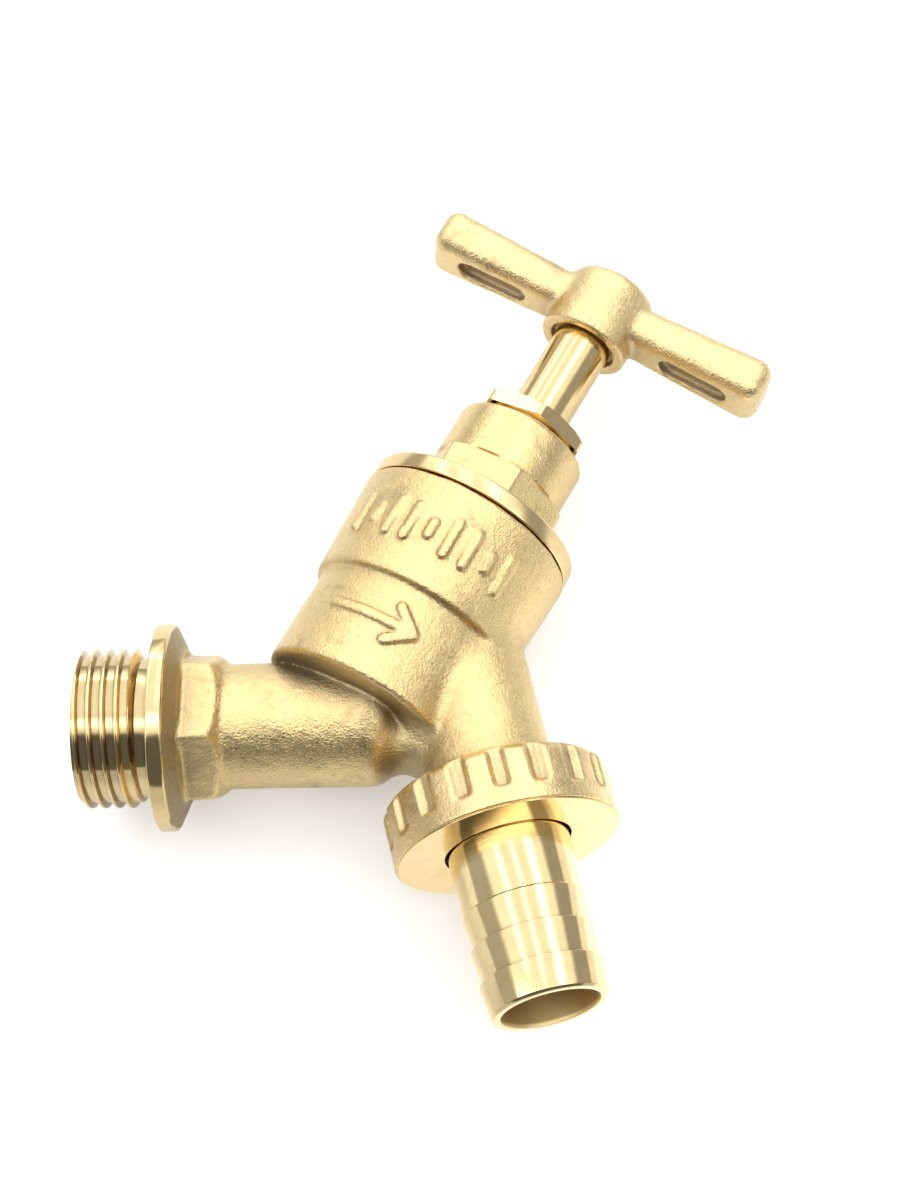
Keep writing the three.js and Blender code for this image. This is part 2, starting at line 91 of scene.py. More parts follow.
# Barrel, boss and valve chamber, along the spindle axis
BARREL_BOTTOM = 2.2
BARREL_R = 13.55
BOSS_BOTTOM = 16.2
BOSS_BOTTOM_R = 14.5
BOSS_TOP = 31.2
BOSS_TOP_R = 15.2
SEAT_BORE_R = 5.0
SEAT_RING_R = 6.8
SEAT_TOP = 7.0
CHAMBER_FLOOR = 5.5
CHAMBER_R = 10.8
MOUTH_START = 21.0
MOUTH_R = 12.5
RECESS_R = 13.7
RECESS_FLOOR = 30.0

# Spout and outlet thread, along the outlet axis
SPOUT_R = 8.5
SPOUT_BORE_R = 6.0
SPOUT_ROOT = -19.0
SPOUT_FLARE = 7.0
OUTLET_THREAD_R = 13.22
OUTLET_THREAD_START = 10.0
OUTLET_END = 13.4
WEB_CENTRE = (33.4, 0.0, -3.0)
WEB_R = 3.9
WEB_STRETCH = 1.2

# Bonnet, gland nut and spindle, along the spindle axis
HEX_CHAMFER_SLOPE = 0.6
BONNET_BOTTOM = 22.0
BONNET_THREAD_R = 12.2
BONNET_FLANGE_BOTTOM = 31.5
BONNET_FLANGE_TOP = 33.9
BONNET_FLANGE_R = 15.0
BONNET_HEX_R = 10.66
BONNET_HEX_STEP = 0.3
BONNET_HEX_TOP = 40.0
BONNET_HEX_TURN = math.radians(-64.5)
STUFFING_BOX_R = 9.3
STUFFING_BOX_TOP = 47.3
SPINDLE_BORE_R = 7.2
SPINDLE_BORE_TOP = 40.8
PACKING_BOX_R = 6.6
PACKING_FLOOR = 42.0
PACKING_R = 6.2
PACKING_TOP = 45.0
FOLLOWER_TOP = 46.4
STEM_HOLE_R = 4.45
GLAND_NECK_R = 6.2
GLAND_HEX_BOTTOM = 48.7
GLAND_HEX_TOP = 50.8
GLAND_HEX_R = 8.2
GLAND_CHAMFER = 0.8
GLAND_HEX_TURN = math.radians(-73.7)
OPEN_LIFT = 5.0
SPINDLE_FOOT = OPEN_LIFT + 12.9
SPINDLE_FOOT_R = 4.6
SPINDLE_THREAD_R = 6.7
SPINDLE_THREAD_START = OPEN_LIFT + 20.5
SPINDLE_THREAD_END = OPEN_LIFT + 33.0
SPINDLE_PITCH = 2.5
STEM_R = 4.15
STEM_TOP = 66.4
SQUARE_TOP = 73.3
SQUARE_HALF = 2.9

# Jumper valve, under the spindle
JUMPER_BOTTOM = OPEN_LIFT + SEAT_TOP + GAP
JUMPER_WASHER_R = 6.9
JUMPER_WASHER_THICK = 3.0
JUMPER_PLATE_R = 7.2
JUMPER_PLATE_THICK = 2.0
JUMPER_STEM_R = 2.4
JUMPER_STEM_LENGTH = 9.0
JUMPER_STUD_R = 1.9
JUMPER_NUT_R = 3.75
JUMPER_NUT_THICK = 2.4

# Crutch handle. Pairs hold at the hub and at an arm's end
HANDLE_TURN = math.radians(5.5)
HUB_R = 6.4
HUB_BOTTOM = 64.9
HUB_TOP = 75.0
HUB_RECESS_R = 4.85
HUB_RECESS_TOP = 66.2
ARM_HEIGHT = 70.6
ARM_LENGTH = 25.6
ARM_HALF_WIDTH = (3.5, 4.5)
ARM_HALF_THICK = (2.8, 3.4)
ARM_EDGE = 2.2
SLOT_FROM = 10.7
SLOT_TO = 21.1
SLOT_HALF_WIDTH = 1.8
SLOT_FLOOR = ARM_HEIGHT - 1.7
GRUB_HOLE_R = 2.3
GRUB_R = 2.0
GRUB_FROM = 3.4
GRUB_TO = 6.0
SOCKET_R = 1.15
SOCKET_DEPTH = 1.4

# Union, along the outlet axis
HOSE_WASHER_R = 12.3
HOSE_WASHER_BORE_R = 7.0
HOSE_WASHER_TOP = 13.7
HOSE_WASHER_THICK = 1.2
COLLAR_TOP = 15.2
COLLAR_BOTTOM = 16.44
COLLAR_R = 12.2
UNION_TOP = 10.0
UNION_BOTTOM = 18.0
UNION_R = 14.8
UNION_THREAD_R = 13.6
UNION_HOLE_R = 8.32
UNION_FACE_THICK = 0.5
UNION_GROOVES = 18
UNION_GROOVE_END = 15.7
UNION_GROOVE_DEPTH = 0.75
UNION_GROOVE_HALF_FLOOR = 0.55
UNION_GROOVE_HALF_WIDTH = 1.4
UNION_GROOVE_PITCH = 2 * math.pi / UNION_GROOVES
FIRST_GROOVE = math.radians(-92)
TAIL_R = 7.95
TAIL_BORE_R = 6.36
TAIL_END = 40.0
TIP_CHAMFER = 0.35
BARB_STARTS = (26.5, 30.9, 35.5)
BARB_R = 8.15
BARB_FOOT_R = 7.6
BARB_EDGE = 0.12

# Surface-net cell sizes, and the fillets that the mould leaves between cast shapes
BODY_CELL = 0.36
HANDLE_CELL = 0.26
BARREL_FILLET = 0.5
SPOUT_FILLET = 1.3
WEB_FILLET = 2.6
HANDLE_FILLET = 1.0

# Raised foundry marks, placed round and along the casting: long and short bars on the boss, and a flow arrow
# on the barrel
BARS = 9
FIRST_BAR = -11.6
BAR_SPACING = 2.9
LONG_BAR = (21.4, 26.2)
SHORT_BAR = (22.8, 24.8)
BAR_HALF_WIDTH = 0.6
ARROW_SHAFT = ((-7.2, 10.2), (4.6, 10.2))
ARROW_TIP = (4.9, 10.2)
ARROW_WING_ENDS = ((1.8, 12.7), (1.8, 7.7))
ARROW_HALF_WIDTH = 0.65
MARK_RISE = 0.5

# Camera (angles in degrees), the board behind the tap, and the middle of the pool of light painted on it,
# which only reflections show
CAMERA_AZIMUTH = 3.41
CAMERA_ELEVATION = -25.98
CAMERA_ROLL = 0.34
CAMERA_TARGET = Vector((37.86, 0.0, 17.81)) * MM
CAMERA_DISTANCE = 351.47 * MM
CAMERA_LENS = 78.89
BOARD_GAP = 0.15
BOARD_HALF_SIZE = 900.0
POOL = (70.0, 15.0, -30.0)

# White strips in the room's window, as (middle, half width, soft edge, strength): upright ones in radians to
# the right of straight out from the board, and level ones in the height of the direction
UPRIGHT_STRIPS = ((-0.5, 0.04, 0.06, 1.5), (-0.03, 0.03, 0.05, 1.2), (0.5, 0.07, 0.10, 1.5))
LEVEL_STRIPS = ((-0.25, 0.08, 0.07, 1.3), (0.865, 0.02, 0.02, 1.2))


# ---------- frames ----------
JOINTS = {joint["name"]: joint for joint in frame["joints"]}


def frame_along(axis, origin):
    """The frame with its +Z along an axis and its +Y along the part's."""
    along = Vector(axis)
    side = Vector((0, 1, 0))
    matrix = Matrix((side.cross(along), side, along)).transposed().to_4x4()
    matrix.translation = Vector(origin)
    return matrix


INLET = frame_along((1, 0, 0), (0, 0, 0))
SPINDLE = frame_along(JOINTS["handle_turn"]["axis"], JOINTS["handle_turn"]["pos_m"])
OUTLET = frame_along(JOINTS["union_nut_turn"]["axis"], JOINTS["union_nut_turn"]["pos_m"])
HANDLE = SPINDLE @ Matrix.Rotation(HANDLE_TURN, 4, "Z")


def local(points, matrix):
    """(across, side, along) in a frame, for x, y, z arrays in the part's millimetres."""
    moved = [points[i] - matrix[i][3] / MM for i in range(3)]
    return [sum(moved[i] * matrix[i][axis] for i in range(3)) for axis in range(3)]


# ---------- distance functions ----------
def rounded(over_x, over_y, radius):
    """Distance to a corner where two faces meet, eased by a radius."""
    inside = np.minimum(np.maximum(over_x, over_y) + radius, 0)
    outside = np.hypot(np.maximum(over_x + radius, 0), np.maximum(over_y + radius, 0))
    return inside + outside - radius


def drum(radial, along, radius, low, high, edge):
    """Distance to a round bar with eased edges. The radius may change along the bar."""
    return rounded(radial - radius, np.abs(along - (low + high) / 2) - (high - low) / 2, edge)


def hexagon(across, side, turn, corner_radius, edge):
    """Distance to a hexagon with a corner at the angle turn, its corners eased."""
    radial = np.hypot(across, side)
    sector = math.radians(60)
    angle = np.mod(np.arctan2(side, across) - turn, sector) - sector / 2
    flat = corner_radius * math.cos(sector / 2) - edge
    over_flat = radial * np.cos(angle) - flat
    over_corner = np.abs(radial * np.sin(angle)) - flat * math.tan(sector / 2)
    outside = np.hypot(np.maximum(over_flat, 0), np.maximum(over_corner, 0))
    return outside + np.minimum(over_flat, 0) - edge


def blended(first, second, fillet):
    """Union of two distances with a fillet between them."""
    near = np.maximum(fillet - np.abs(first - second), 0) / fillet
    return np.minimum(first, second) - near * near * fillet / 4


def carved(whole, tool, ease=0.3):
    """What is left of a shape when a tool has cut it, with an eased edge."""
    return -blended(-whole, tool, ease)


def stroke(across, up, start, end, half_width):
    """Distance to a straight stroke with round ends, in the plane."""
    run = np.subtract(end, start)
    squared = max(float(run @ run), 1e-9)
    share = np.clip(((across - start[0]) * run[0] + (up - start[1]) * run[1]) / squared, 0, 1)
    return np.hypot(across - start[0] - share * run[0], up - start[1] - share * run[1]) - half_width


def unevenness(x, y, z, size):
    """The slow unevenness of a sand casting, from a few crossed waves."""
    waves = np.sin(0.61 * x + 0.37 * y + 0.5) * np.sin(0.53 * z - 0.29 * x)
    waves = waves + np.sin(0.97 * y - 0.71 * z + 1.7) * np.sin(0.83 * x + 0.41 * z)
    waves = waves + 0.5 * np.sin(1.9 * x + 1.1 * z + 0.3) * np.sin(1.7 * y - 1.3 * z)
    return size * waves / 2.5


# ---------- meshes ----------
def surface_net(distance, low, high, cell):
    """Vertices and quads of a distance function's zero surface, over a box, in millimetres."""
    counts = [int(math.ceil((high[i] - low[i]) / cell)) + 1 for i in range(3)]
    lines = [(low[i] + cell * np.arange(counts[i])).astype(np.float32) for i in range(3)]
    field = distance(*np.meshgrid(*lines, indexing="ij"))
    inside = field < 0
    corners = [(i, j, k) for i in (0, 1) for j in (0, 1) for k in (0, 1)]
    cells_in = [count - 1 for count in counts]
    filled = np.zeros(cells_in, np.int8)
    for i, j, k in corners:
        filled += inside[i:cells_in[0] + i, j:cells_in[1] + j, k:cells_in[2] + k]
    mixed = (filled > 0) & (filled < 8)
    cells = np.argwhere(mixed)
    number = np.full(mixed.shape, -1, np.int64)
    number[mixed] = np.arange(len(cells))

    total = np.zeros((len(cells), 3))
    hits = np.zeros(len(cells))
    for start in corners:
        for axis in range(3):
            if start[axis]:
                continue
            end = [start[i] + (i == axis) for i in range(3)]
            near = field[tuple((cells + start).T)]
            far = field[tuple((cells + end).T)]
            crossed = (near < 0) != (far < 0)
            share = near[crossed] / (near[crossed] - far[crossed])
            point = np.tile(np.array(start, float), (len(share), 1))
            point[:, axis] += share
            total[crossed] += point
            hits[crossed] += 1
    vertices = np.array(low) + cell * (cells + total / hits[:, None])

    quads = []
    for axis in range(3):
        second, third = (axis + 1) % 3, (axis + 2) % 3
        ahead = np.roll(inside, -1, axis)
        crossed = inside != ahead
        for i, wall in ((axis, -1), (second, 0), (third, 0)):
            index = [slice(None)] * 3
            index[i] = wall
            crossed[tuple(index)] = False
        edges = np.argwhere(crossed)
        around = []
        for step_second, step_third in ((1, 1), (0, 1), (0, 0), (1, 0)):
            place = edges.copy()
            place[:, second] -= step_second
            place[:, third] -= step_third
            around.append(number[tuple(place.T)])
        quad = np.stack(around, 1)
        outwards = inside[tuple(edges.T)]
        quad[~outwards] = quad[~outwards][:, ::-1]
        quads.append(quad)
    return settled(vertices, distance, cell), np.concatenate(quads)


def settled(vertices, distance, cell):
    """Vertices moved along the gradient onto the zero surface."""
    step = 0.25 * cell
    for _ in range(2):
        here = distance(*vertices.T)
        slopes = []
        for axis in range(3):
            ahead, behind = vertices.copy(), vertices.copy()
            ahead[:, axis] += step
            behind[:, axis] -= step
            slopes.append((distance(*ahead.T) - distance(*behind.T)) / (2 * step))
        slope = np.stack(slopes, 1)
        steepness = np.maximum((slope ** 2).sum(1), 0.25)
        move = -(here / steepness)[:, None] * slope
        length = np.maximum(np.linalg.norm(move, axis=1), 1e-9)
        vertices = vertices + move * np.minimum(0.5 * cell / length, 1)[:, None]
    return vertices


def made_piece(name, vertices, faces, placement, sharp_degrees=38):
    """A closed, smooth-shaded piece from millimetre vertices in a placement's own frame."""
    mesh = bpy.data.meshes.new(name)
    mesh.from_pydata((np.asarray(vertices, float) * MM).tolist(), [], np.asarray(faces).tolist())
    work = bmesh.new()
    work.from_mesh(mesh)
    bmesh.ops.remove_doubles(work, verts=work.verts, dist=1e-6)
    bmesh.ops.dissolve_degenerate(work, edges=work.edges, dist=1e-7)
    bmesh.ops.recalc_face_normals(work, faces=work.faces)
    work.to_mesh(mesh)
    work.free()
    mesh.shade_smooth()
    mesh.set_sharp_from_angle(angle=math.radians(sharp_degrees))
    piece = bpy.data.objects.new(name, mesh)
    bpy.context.scene.collection.objects.link(piece)
    piece.matrix_world = placement
    return piece


def eased_line(points, closed):
    """An outline of (radius, height, ease) corners, each turned into a short arc where its ease isn't 0."""
    line = []
    last = len(points) - 1
    for index, (radius, height, ease) in enumerate(points):
        here = np.array((radius, height), float)
        if not ease or (not closed and index in (0, last)):
            line.append(here)
            continue
        before = np.array(points[index - 1][:2]) - here
        after = np.array(points[(index + 1) % len(points)][:2]) - here
        lengths = np.linalg.norm(before), np.linalg.norm(after)
        reach = min(ease, 0.45 * lengths[0], 0.45 * lengths[1])
        start = here + before / lengths[0] * reach
        end = here + after / lengths[1] * reach
        for share in np.linspace(0, 1, 5):
            line.append((1 - share) ** 2 * start + 2 * share * (1 - share) * here + share ** 2 * end)
    return np.array(line)


def dense_line(line, step, closed):
    """The same line with no stretch longer than step."""
    points = []
    ends = np.roll(line, -1, 0) if closed else line[1:]
    for start, end in zip(line, ends):
        parts = max(1, int(math.ceil(np.linalg.norm(end - start) / step)))
        points += [start + (end - start) * part / parts for part in range(parts)]
    return np.array(points if closed else points + [line[-1]])


def even_angles(columns, turn=0.0):
    return turn + np.arange(columns) * 2 * math.pi / columns


def skin(radius, height, angles, following=None, closed=True):
    """Vertices and quads over rows of (radius, height) at each angle. Row following[i] goes on from row i
    after a full turn, which lets a row climb a helix."""
    rows, columns = radius.shape
    vertices = np.stack([radius * np.cos(angles), radius * np.sin(angles), height], -1).reshape(-1, 3)
    if following is None:
        following = np.arange(rows)
    here = np.arange(rows)[:, None] * columns + np.arange(columns)[None, :]
    beside = np.concatenate([here[:, 1:], (following * columns)[:, None]], 1)
    last = rows if closed else rows - 1
    above = np.roll(here, -1, 0)
    above_beside = np.roll(beside, -1, 0)
    faces = np.stack([here, beside, above_beside, above], -1)[:last].reshape(-1, 4)
    return vertices, faces


def turned(name, outline, placement, shape=None, angles=None, step=None):
    """A turned piece. Its outline closes on itself, or starts and ends on the axis.
    shape(radius, height, angles) may change the rows."""
    closed = outline[0][0] > 0
    line = eased_line(outline, closed)
    if step:
        line = dense_line(line, step, closed)
    if angles is None:
        angles = even_angles(160)
    radius = np.repeat(line[:, :1], len(angles), 1)
    height = np.repeat(line[:, 1:], len(angles), 1)
    if shape:
        radius, height = shape(radius, height, angles)
    vertices, faces = skin(radius, height, angles, closed=closed)
    return made_piece(name, vertices, faces, placement)


def threaded(name, before, after, major, depth, placement, columns=160):
    """A turned piece with a male pipe thread between two stretches of its outline. The thread fades out in a
    slope at both ends."""
    rows_in_turn = 20
    crest_share, flanks_share = 0.14, 0.36
    start_slope, end_slope = 2.0, 1.6
    angles = even_angles(columns)
    closed = before[0][0] > 0
    head = eased_line(before, False)
    foot = eased_line(after, False)
    start, end = head[-1, 1], foot[0, 1]
    count = int(math.ceil(((end - start) / PIPE_PITCH + 1) * rows_in_turn)) + 1
    base = start - PIPE_PITCH + np.arange(count) * PIPE_PITCH / rows_in_turn
    height = np.clip(base[:, None] + PIPE_PITCH * angles[None, :] / (2 * math.pi), start, end)
    phase = np.arange(count) % rows_in_turn / rows_in_turn
    wave = np.clip((np.abs(2 * phase - 1) - crest_share) / flanks_share, 0, 1)
    flank = 0.5 - 0.5 * np.cos(math.pi * wave)
    radius = major - depth * flank[:, None] + 0 * height
    radius = np.minimum(radius, head[-1, 0] + start_slope * (height - start))
    radius = np.minimum(radius, foot[0, 0] + end_slope * (end - height))
    plain = np.ones(columns)[None, :]
    all_radius = np.concatenate([head[:, :1] * plain, radius, foot[:, :1] * plain])
    all_height = np.concatenate([head[:, 1:] * plain, height, foot[:, 1:] * plain])
    following = np.arange(len(all_radius))
    turns = slice(len(head), len(head) + count)
    following[turns] = np.minimum(following[turns] + rows_in_turn, len(head) + count - 1)
    vertices, faces = skin(all_radius, all_height, angles, following, closed)
    return made_piece(name, vertices, faces, placement)


def polygon_radius(angles, corner_radius, turn, sides=6, crispness=70):
    """The radius of a regular polygon with slightly worn corners."""
    total = 0
    for side in range(sides):
        facing = turn + (side + 0.5) * 2 * math.pi / sides
        total = total + np.maximum(np.cos(angles - facing), 0) ** crispness
    return corner_radius * math.cos(math.pi / sides) / total ** (1 / crispness)


def six_sided(corner_radius, turn, within=None):
    """A shape for turned() that cuts a hexagon's flats, where within(radius, height) holds."""
    def cut(radius, height, angles):
        flats = np.minimum(radius, polygon_radius(angles, corner_radius, turn)[None, :])
        return (flats if within is None else np.where(within(radius, height), flats, radius)), height
    return cut


# ---------- materials ----------
def add_node(tree, kind, inputs=None, **settings):
    """A node with its settings, and with sockets or plain values on its inputs."""
    made = tree.nodes.new(kind)
    for key, value in settings.items():
        setattr(made, key, value)
    for key, value in (inputs or {}).items():
        if isinstance(value, bpy.types.NodeSocket):
            tree.links.new(value, made.inputs[key])
        else:
            made.inputs[key].default_value = value
    return made


def blank_material(name):
    """A material with a Principled shader and the piece's own coordinates in millimetres."""
    material = bpy.data.materials.new(name)
    material.use_nodes = True
    tree = material.node_tree
    shader = tree.nodes["Principled BSDF"]
    coordinates = add_node(tree, "ShaderNodeTexCoord").outputs["Object"]
    scale = add_node(tree, "ShaderNodeVectorMath", {0: coordinates, 3: 1 / MM}, operation="SCALE")
    return material, tree, shader, scale.outputs[0]


def noise(tree, vector, scale, detail=3.0, roughness=0.55, distortion=0.0):
    inputs = {"Vector": vector, "Scale": scale, "Detail": detail, "Roughness": roughness}
    inputs["Distortion"] = distortion
    return add_node(tree, "ShaderNodeTexNoise", inputs).outputs["Fac"]


def ranged(tree, value, low, high, out_low, out_high, smooth=False):
    """A value carried from low..high to out_low..out_high, and held at the ends."""
    inputs = {0: value, 1: low, 2: high, 3: out_low, 4: out_high}
    kind = "SMOOTHSTEP" if smooth else "LINEAR"
    return add_node(tree, "ShaderNodeMapRange", inputs, interpolation_type=kind).outputs[0]


def worked(tree, operation, first, second=0.0):
    return add_node(tree, "ShaderNodeMath", {0: first, 1: second}, operation=operation).outputs[0]


def mixed_colour(tree, share, first, second):
    return add_node(tree, "ShaderNodeMix", {0: share, 6: first, 7: second}, data_type="RGBA").outputs[2]


def bump(tree, height, distance, normal=None):
    inputs = {"Height": height, "Distance": distance, "Strength": 1.0}
    if normal is not None:
        inputs["Normal"] = normal
    return add_node(tree, "ShaderNodeBump", inputs).outputs[0]


def dress(tree, shader, colour, roughness, normal, metallic=1.0):
    """Connects what a surface needs to its Principled shader."""
    for key, value in (("Base Color", colour), ("Roughness", roughness), ("Normal", normal)):
        tree.links.new(value, shader.inputs[key])
    shader.inputs["Metallic"].default_value = metallic


def painted_crevice_shade(tree, reach, clear, shut):
    """How much painted shade a point gets for lying in a corner or recess of its own piece, within reach in
    millimetres:
    0 where the share of open directions is over clear, and 1 where it is under shut."""
    inputs = {"Distance": reach * MM}
    occlusion = add_node(tree, "ShaderNodeAmbientOcclusion", inputs, samples=8, only_local=True)
    return ranged(tree, occlusion.outputs["AO"], clear, shut, 0.0, 1.0)


def cast_brass(name, colour, stain, crevice_shade_colour, reach, grain, shade_behind=None):
    """Sand-cast, tumbled brass: a sparkling grain, with duller stained patches, dark specks, and painted shade
    in corners and recesses of the given reach (standing also for their patina), where it is also rougher.
    Behind the flange, up to a given place along X, the skin gets the same painted shade and roughness."""
    material, tree, shader, place = blank_material(name)
    patches = noise(tree, place, 0.16, 5.0, 0.62, 0.4)
    specks = noise(tree, place, 1.3, 3.0, 0.75)
    stained = ranged(tree, patches, 0.54, 0.74, 0.0, 0.7, smooth=True)
    speckled = ranged(tree, specks, 0.6, 0.72, 0.0, 0.55, smooth=True)
    base = mixed_colour(tree, stained, colour, stain)
    clean = mixed_colour(tree, speckled, base, stain)
    # Painted shade: the colour goes toward the dark crevice colour, and the surface gets rougher, where the
    # piece's own shape closes round a point
    crevice_shade = painted_crevice_shade(tree, reach, 0.95, 0.56)
    # Painted shade on the flange's conical back, behind the hexagon
    if shade_behind is not None:
        along = add_node(tree, "ShaderNodeSeparateXYZ", {0: place}).outputs[0]
        behind = ranged(tree, along, shade_behind + 0.5, shade_behind - 0.3, 0.0, 0.85, smooth=True)
        crevice_shade = worked(tree, "MAXIMUM", crevice_shade, behind)
    crevice_shaded = mixed_colour(tree, crevice_shade, clean, crevice_shade_colour)
    finish = ranged(tree, specks, 0.3, 0.7, 0.2, 0.3)
    roughness = worked(tree, "ADD", finish, worked(tree, "MULTIPLY", crevice_shade, 0.2))
    sand_normal = bump(tree, noise(tree, place, 3.2, 3.0, 0.6), 0.00014 * grain)
    normal = bump(tree, noise(tree, place, 0.6, 2.0, 0.5), 0.00012 * grain, sand_normal)
    dress(tree, shader, crevice_shaded, roughness, normal)
    return material


def machined_brass(name, colour, roughness, lines=1.0, dull_within=0.0):
    """Turned and polished brass, with faint rings left by the tool, a few smears and brown painted shade in
    the grooves and corners. It is duller inside a bore of the radius dull_within."""
    material, tree, shader, place = blank_material(name)
    parts = add_node(tree, "ShaderNodeSeparateXYZ", {0: place}).outputs
    flat = add_node(tree, "ShaderNodeCombineXYZ", {0: parts[0], 1: parts[1], 2: 0.0}).outputs[0]
    radial = add_node(tree, "ShaderNodeVectorMath", {0: flat}, operation="LENGTH").outputs[1]
    rings_at = add_node(tree, "ShaderNodeCombineXYZ", {0: radial, 1: 0.0, 2: parts[2]}).outputs[0]
    rings = noise(tree, rings_at, 5.0, 3.0, 0.7)
    smears = noise(tree, place, 0.35, 4.0, 0.6, 0.6)
    deeper = tuple(0.86 * value for value in colour[:3]) + (1.0,)
    smeared = mixed_colour(tree, ranged(tree, smears, 0.4, 0.75, 0.0, 0.8), colour, deeper)
    # Painted brown shade in grooves and corners, where the piece's own shape closes round a point
    crevice_shaded = mixed_colour(tree, painted_crevice_shade(tree, 2.5, 0.8, 0.4), smeared, TURNED_CREVICE_SHADE)
    finish = ranged(tree, smears, 0.3, 0.7, roughness, roughness + 0.05)
    dulled = ranged(tree, radial, dull_within + 0.1, dull_within + 0.3, 0.35, 0.0)
    dress(tree, shader, crevice_shaded, worked(tree, "ADD", finish, dulled), bump(tree, rings, 0.000012 * lines))
    return material


def mottled(name, colour, second, roughness, scale, fineness=0.65, relief=0.00008, metallic=0.0):
    """A plain surface that wavers between two colours, and between the two values of roughness."""
    material, tree, shader, place = blank_material(name)
    mottle = noise(tree, place, scale, 4.0, fineness)
    mixed = mixed_colour(tree, mottle, colour, second)
    finish = ranged(tree, mottle, 0.3, 0.7, *roughness)
    dress(tree, shader, mixed, finish, bump(tree, mottle, relief), metallic)
    return material


# The brown of the painted shade in the turned parts' grooves. In each cast brass below, the third colour is
# the painted shade in its corners and recesses.
TURNED_CREVICE_SHADE = (0.27, 0.22, 0.17, 1)
BODY_BRASS = cast_brass(
    "body_brass", (0.87, 0.67, 0.33, 1), (0.42, 0.33, 0.18, 1), (0.38, 0.31, 0.20, 1),
    reach=8.0, grain=1.0, shade_behind=INLET_HEX_START,
)
HANDLE_BRASS = cast_brass(
    "handle_brass", (0.87, 0.68, 0.35, 1), (0.50, 0.40, 0.23, 1), (0.50, 0.41, 0.28, 1), reach=4.0, grain=0.9
)
BONNET_BRASS = cast_brass(
    "bonnet_brass", (0.87, 0.67, 0.33, 1), (0.50, 0.39, 0.22, 1), (0.45, 0.36, 0.22, 1), reach=1.5, grain=0.5
)
NUT_BRASS = cast_brass(
    "nut_brass", (0.86, 0.66, 0.34, 1), (0.50, 0.39, 0.22, 1), (0.25, 0.20, 0.15, 1), reach=1.8, grain=0.6
)
POLISHED_BRASS = machined_brass("polished_brass", (0.90, 0.70, 0.36, 1), 0.08)
TURNED_BRASS = machined_brass("turned_brass", (0.90, 0.69, 0.36, 1), 0.15, lines=2.0)
TAIL_BRASS = machined_brass("tail_brass", (0.90, 0.71, 0.38, 1), 0.07, dull_within=TAIL_BORE_R)
RUBBER = mottled("rubber", (0.012, 0.012, 0.013, 1), (0.03, 0.03, 0.032, 1), (0.67, 0.83), 2.0)
FIBRE = mottled("fibre", (0.26, 0.05, 0.03, 1), (0.42, 0.11, 0.06, 1), (0.77, 0.93), 3.0)
PACKING = mottled("packing", (0.78, 0.76, 0.7, 1), (0.62, 0.6, 0.54, 1), (0.72, 0.88), 2.5)
STEEL = mottled(
    "blackened_steel", (0.08, 0.08, 0.085, 1), (0.2, 0.2, 0.21, 1), (0.3, 0.5), 2.2, 0.6, 0.00003, 1.0
)


def finish_piece(piece, material, slot, body, *nodes):
    """Dresses a piece, rides it on its body and hides the CAD nodes that it stands for."""
    piece.data.materials.append(material)
    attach(piece, body)
    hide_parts(*nodes)


# ---------- body casting ----------
def inlet_outside(x, y, z):
    """The flange's conical back, the hexagon and the inlet tube with its rounded end."""
    across, side, along = local((x, y, z), INLET)
    radial = np.hypot(across, side)
    slope = (FLANGE_R - INLET_HEX_R) / (INLET_HEX_START - FLANGE_RIM)
    cone_radius = FLANGE_R - 0.15 - slope * (along - FLANGE_RIM)
    cone = (radial - cone_radius) / math.hypot(1, slope)
    cone = np.maximum(np.maximum(cone, radial - FLANGE_R + 0.1), 1.0 - along)
    cone = np.maximum(cone, along - INLET_HEX_START - 0.2)
    flats = hexagon(across, side, 0.0, INLET_HEX_R, 0.7)
    middle = (CASTING_START + INLET_HEX_END) / 2
    hexagonal = rounded(flats, np.abs(along - middle) - (INLET_HEX_END - CASTING_START) / 2, 0.4)
    over_chamfer = radial - INLET_HEX_END_R - INLET_HEX_SLOPE * (INLET_HEX_END - along)
    hexagonal = carved(hexagonal, -over_chamfer / math.hypot(1, INLET_HEX_SLOPE), 0.5)
    tube = drum(radial, along, TUBE_R, CASTING_START, TUBE_END, TUBE_END_ROUND)
    return blended(blended(tube, hexagonal, 1.4), cone, 0.6)


def barrel_and_boss_outside(radial, along):
    barrel = drum(radial, along, BARREL_R, BARREL_BOTTOM, BOSS_BOTTOM + 3, 0.7)
    growth = (BOSS_TOP_R - BOSS_BOTTOM_R) * (along - BOSS_BOTTOM)
    boss_radius = BOSS_BOTTOM_R + growth / (BOSS_TOP - BOSS_BOTTOM)
    boss = drum(radial, along, boss_radius, BOSS_BOTTOM, BOSS_TOP, 0.45)
    return blended(barrel, boss, 0.8)


def spout_outside(x, y, z):
    across, side, along = local((x, y, z), OUTLET)
    flare = np.clip((along - SPOUT_FLARE) / (OUTLET_THREAD_START - SPOUT_FLARE), 0, 1) ** 2
    radius = SPOUT_R + flare * (OUTLET_THREAD_R - PIPE_DEPTH - 0.3 - SPOUT_R)
    return drum(np.hypot(across, side), along, radius, SPOUT_ROOT, OUTLET_THREAD_START + 0.8, 0.3)


def root_web(x, y, z):
    """The lump of metal that joins the tube's end to the spout, under the barrel."""
    web_x, web_y, web_z = WEB_CENTRE
    return np.sqrt((x - web_x) ** 2 + ((y - web_y) / WEB_STRETCH) ** 2 + (z - web_z) ** 2) - WEB_R


def bars():
    """Strokes (start, end) round and along the boss, with a short bar in every three."""
    strokes = []
    for place in range(BARS):
        round_ = FIRST_BAR + place * BAR_SPACING
        low, high = SHORT_BAR if place % 3 == 1 else LONG_BAR
        strokes.append(((round_, low), (round_, high)))
    return strokes


def flow_arrow():
    return [ARROW_SHAFT, *((end, ARROW_TIP) for end in ARROW_WING_ENDS)]


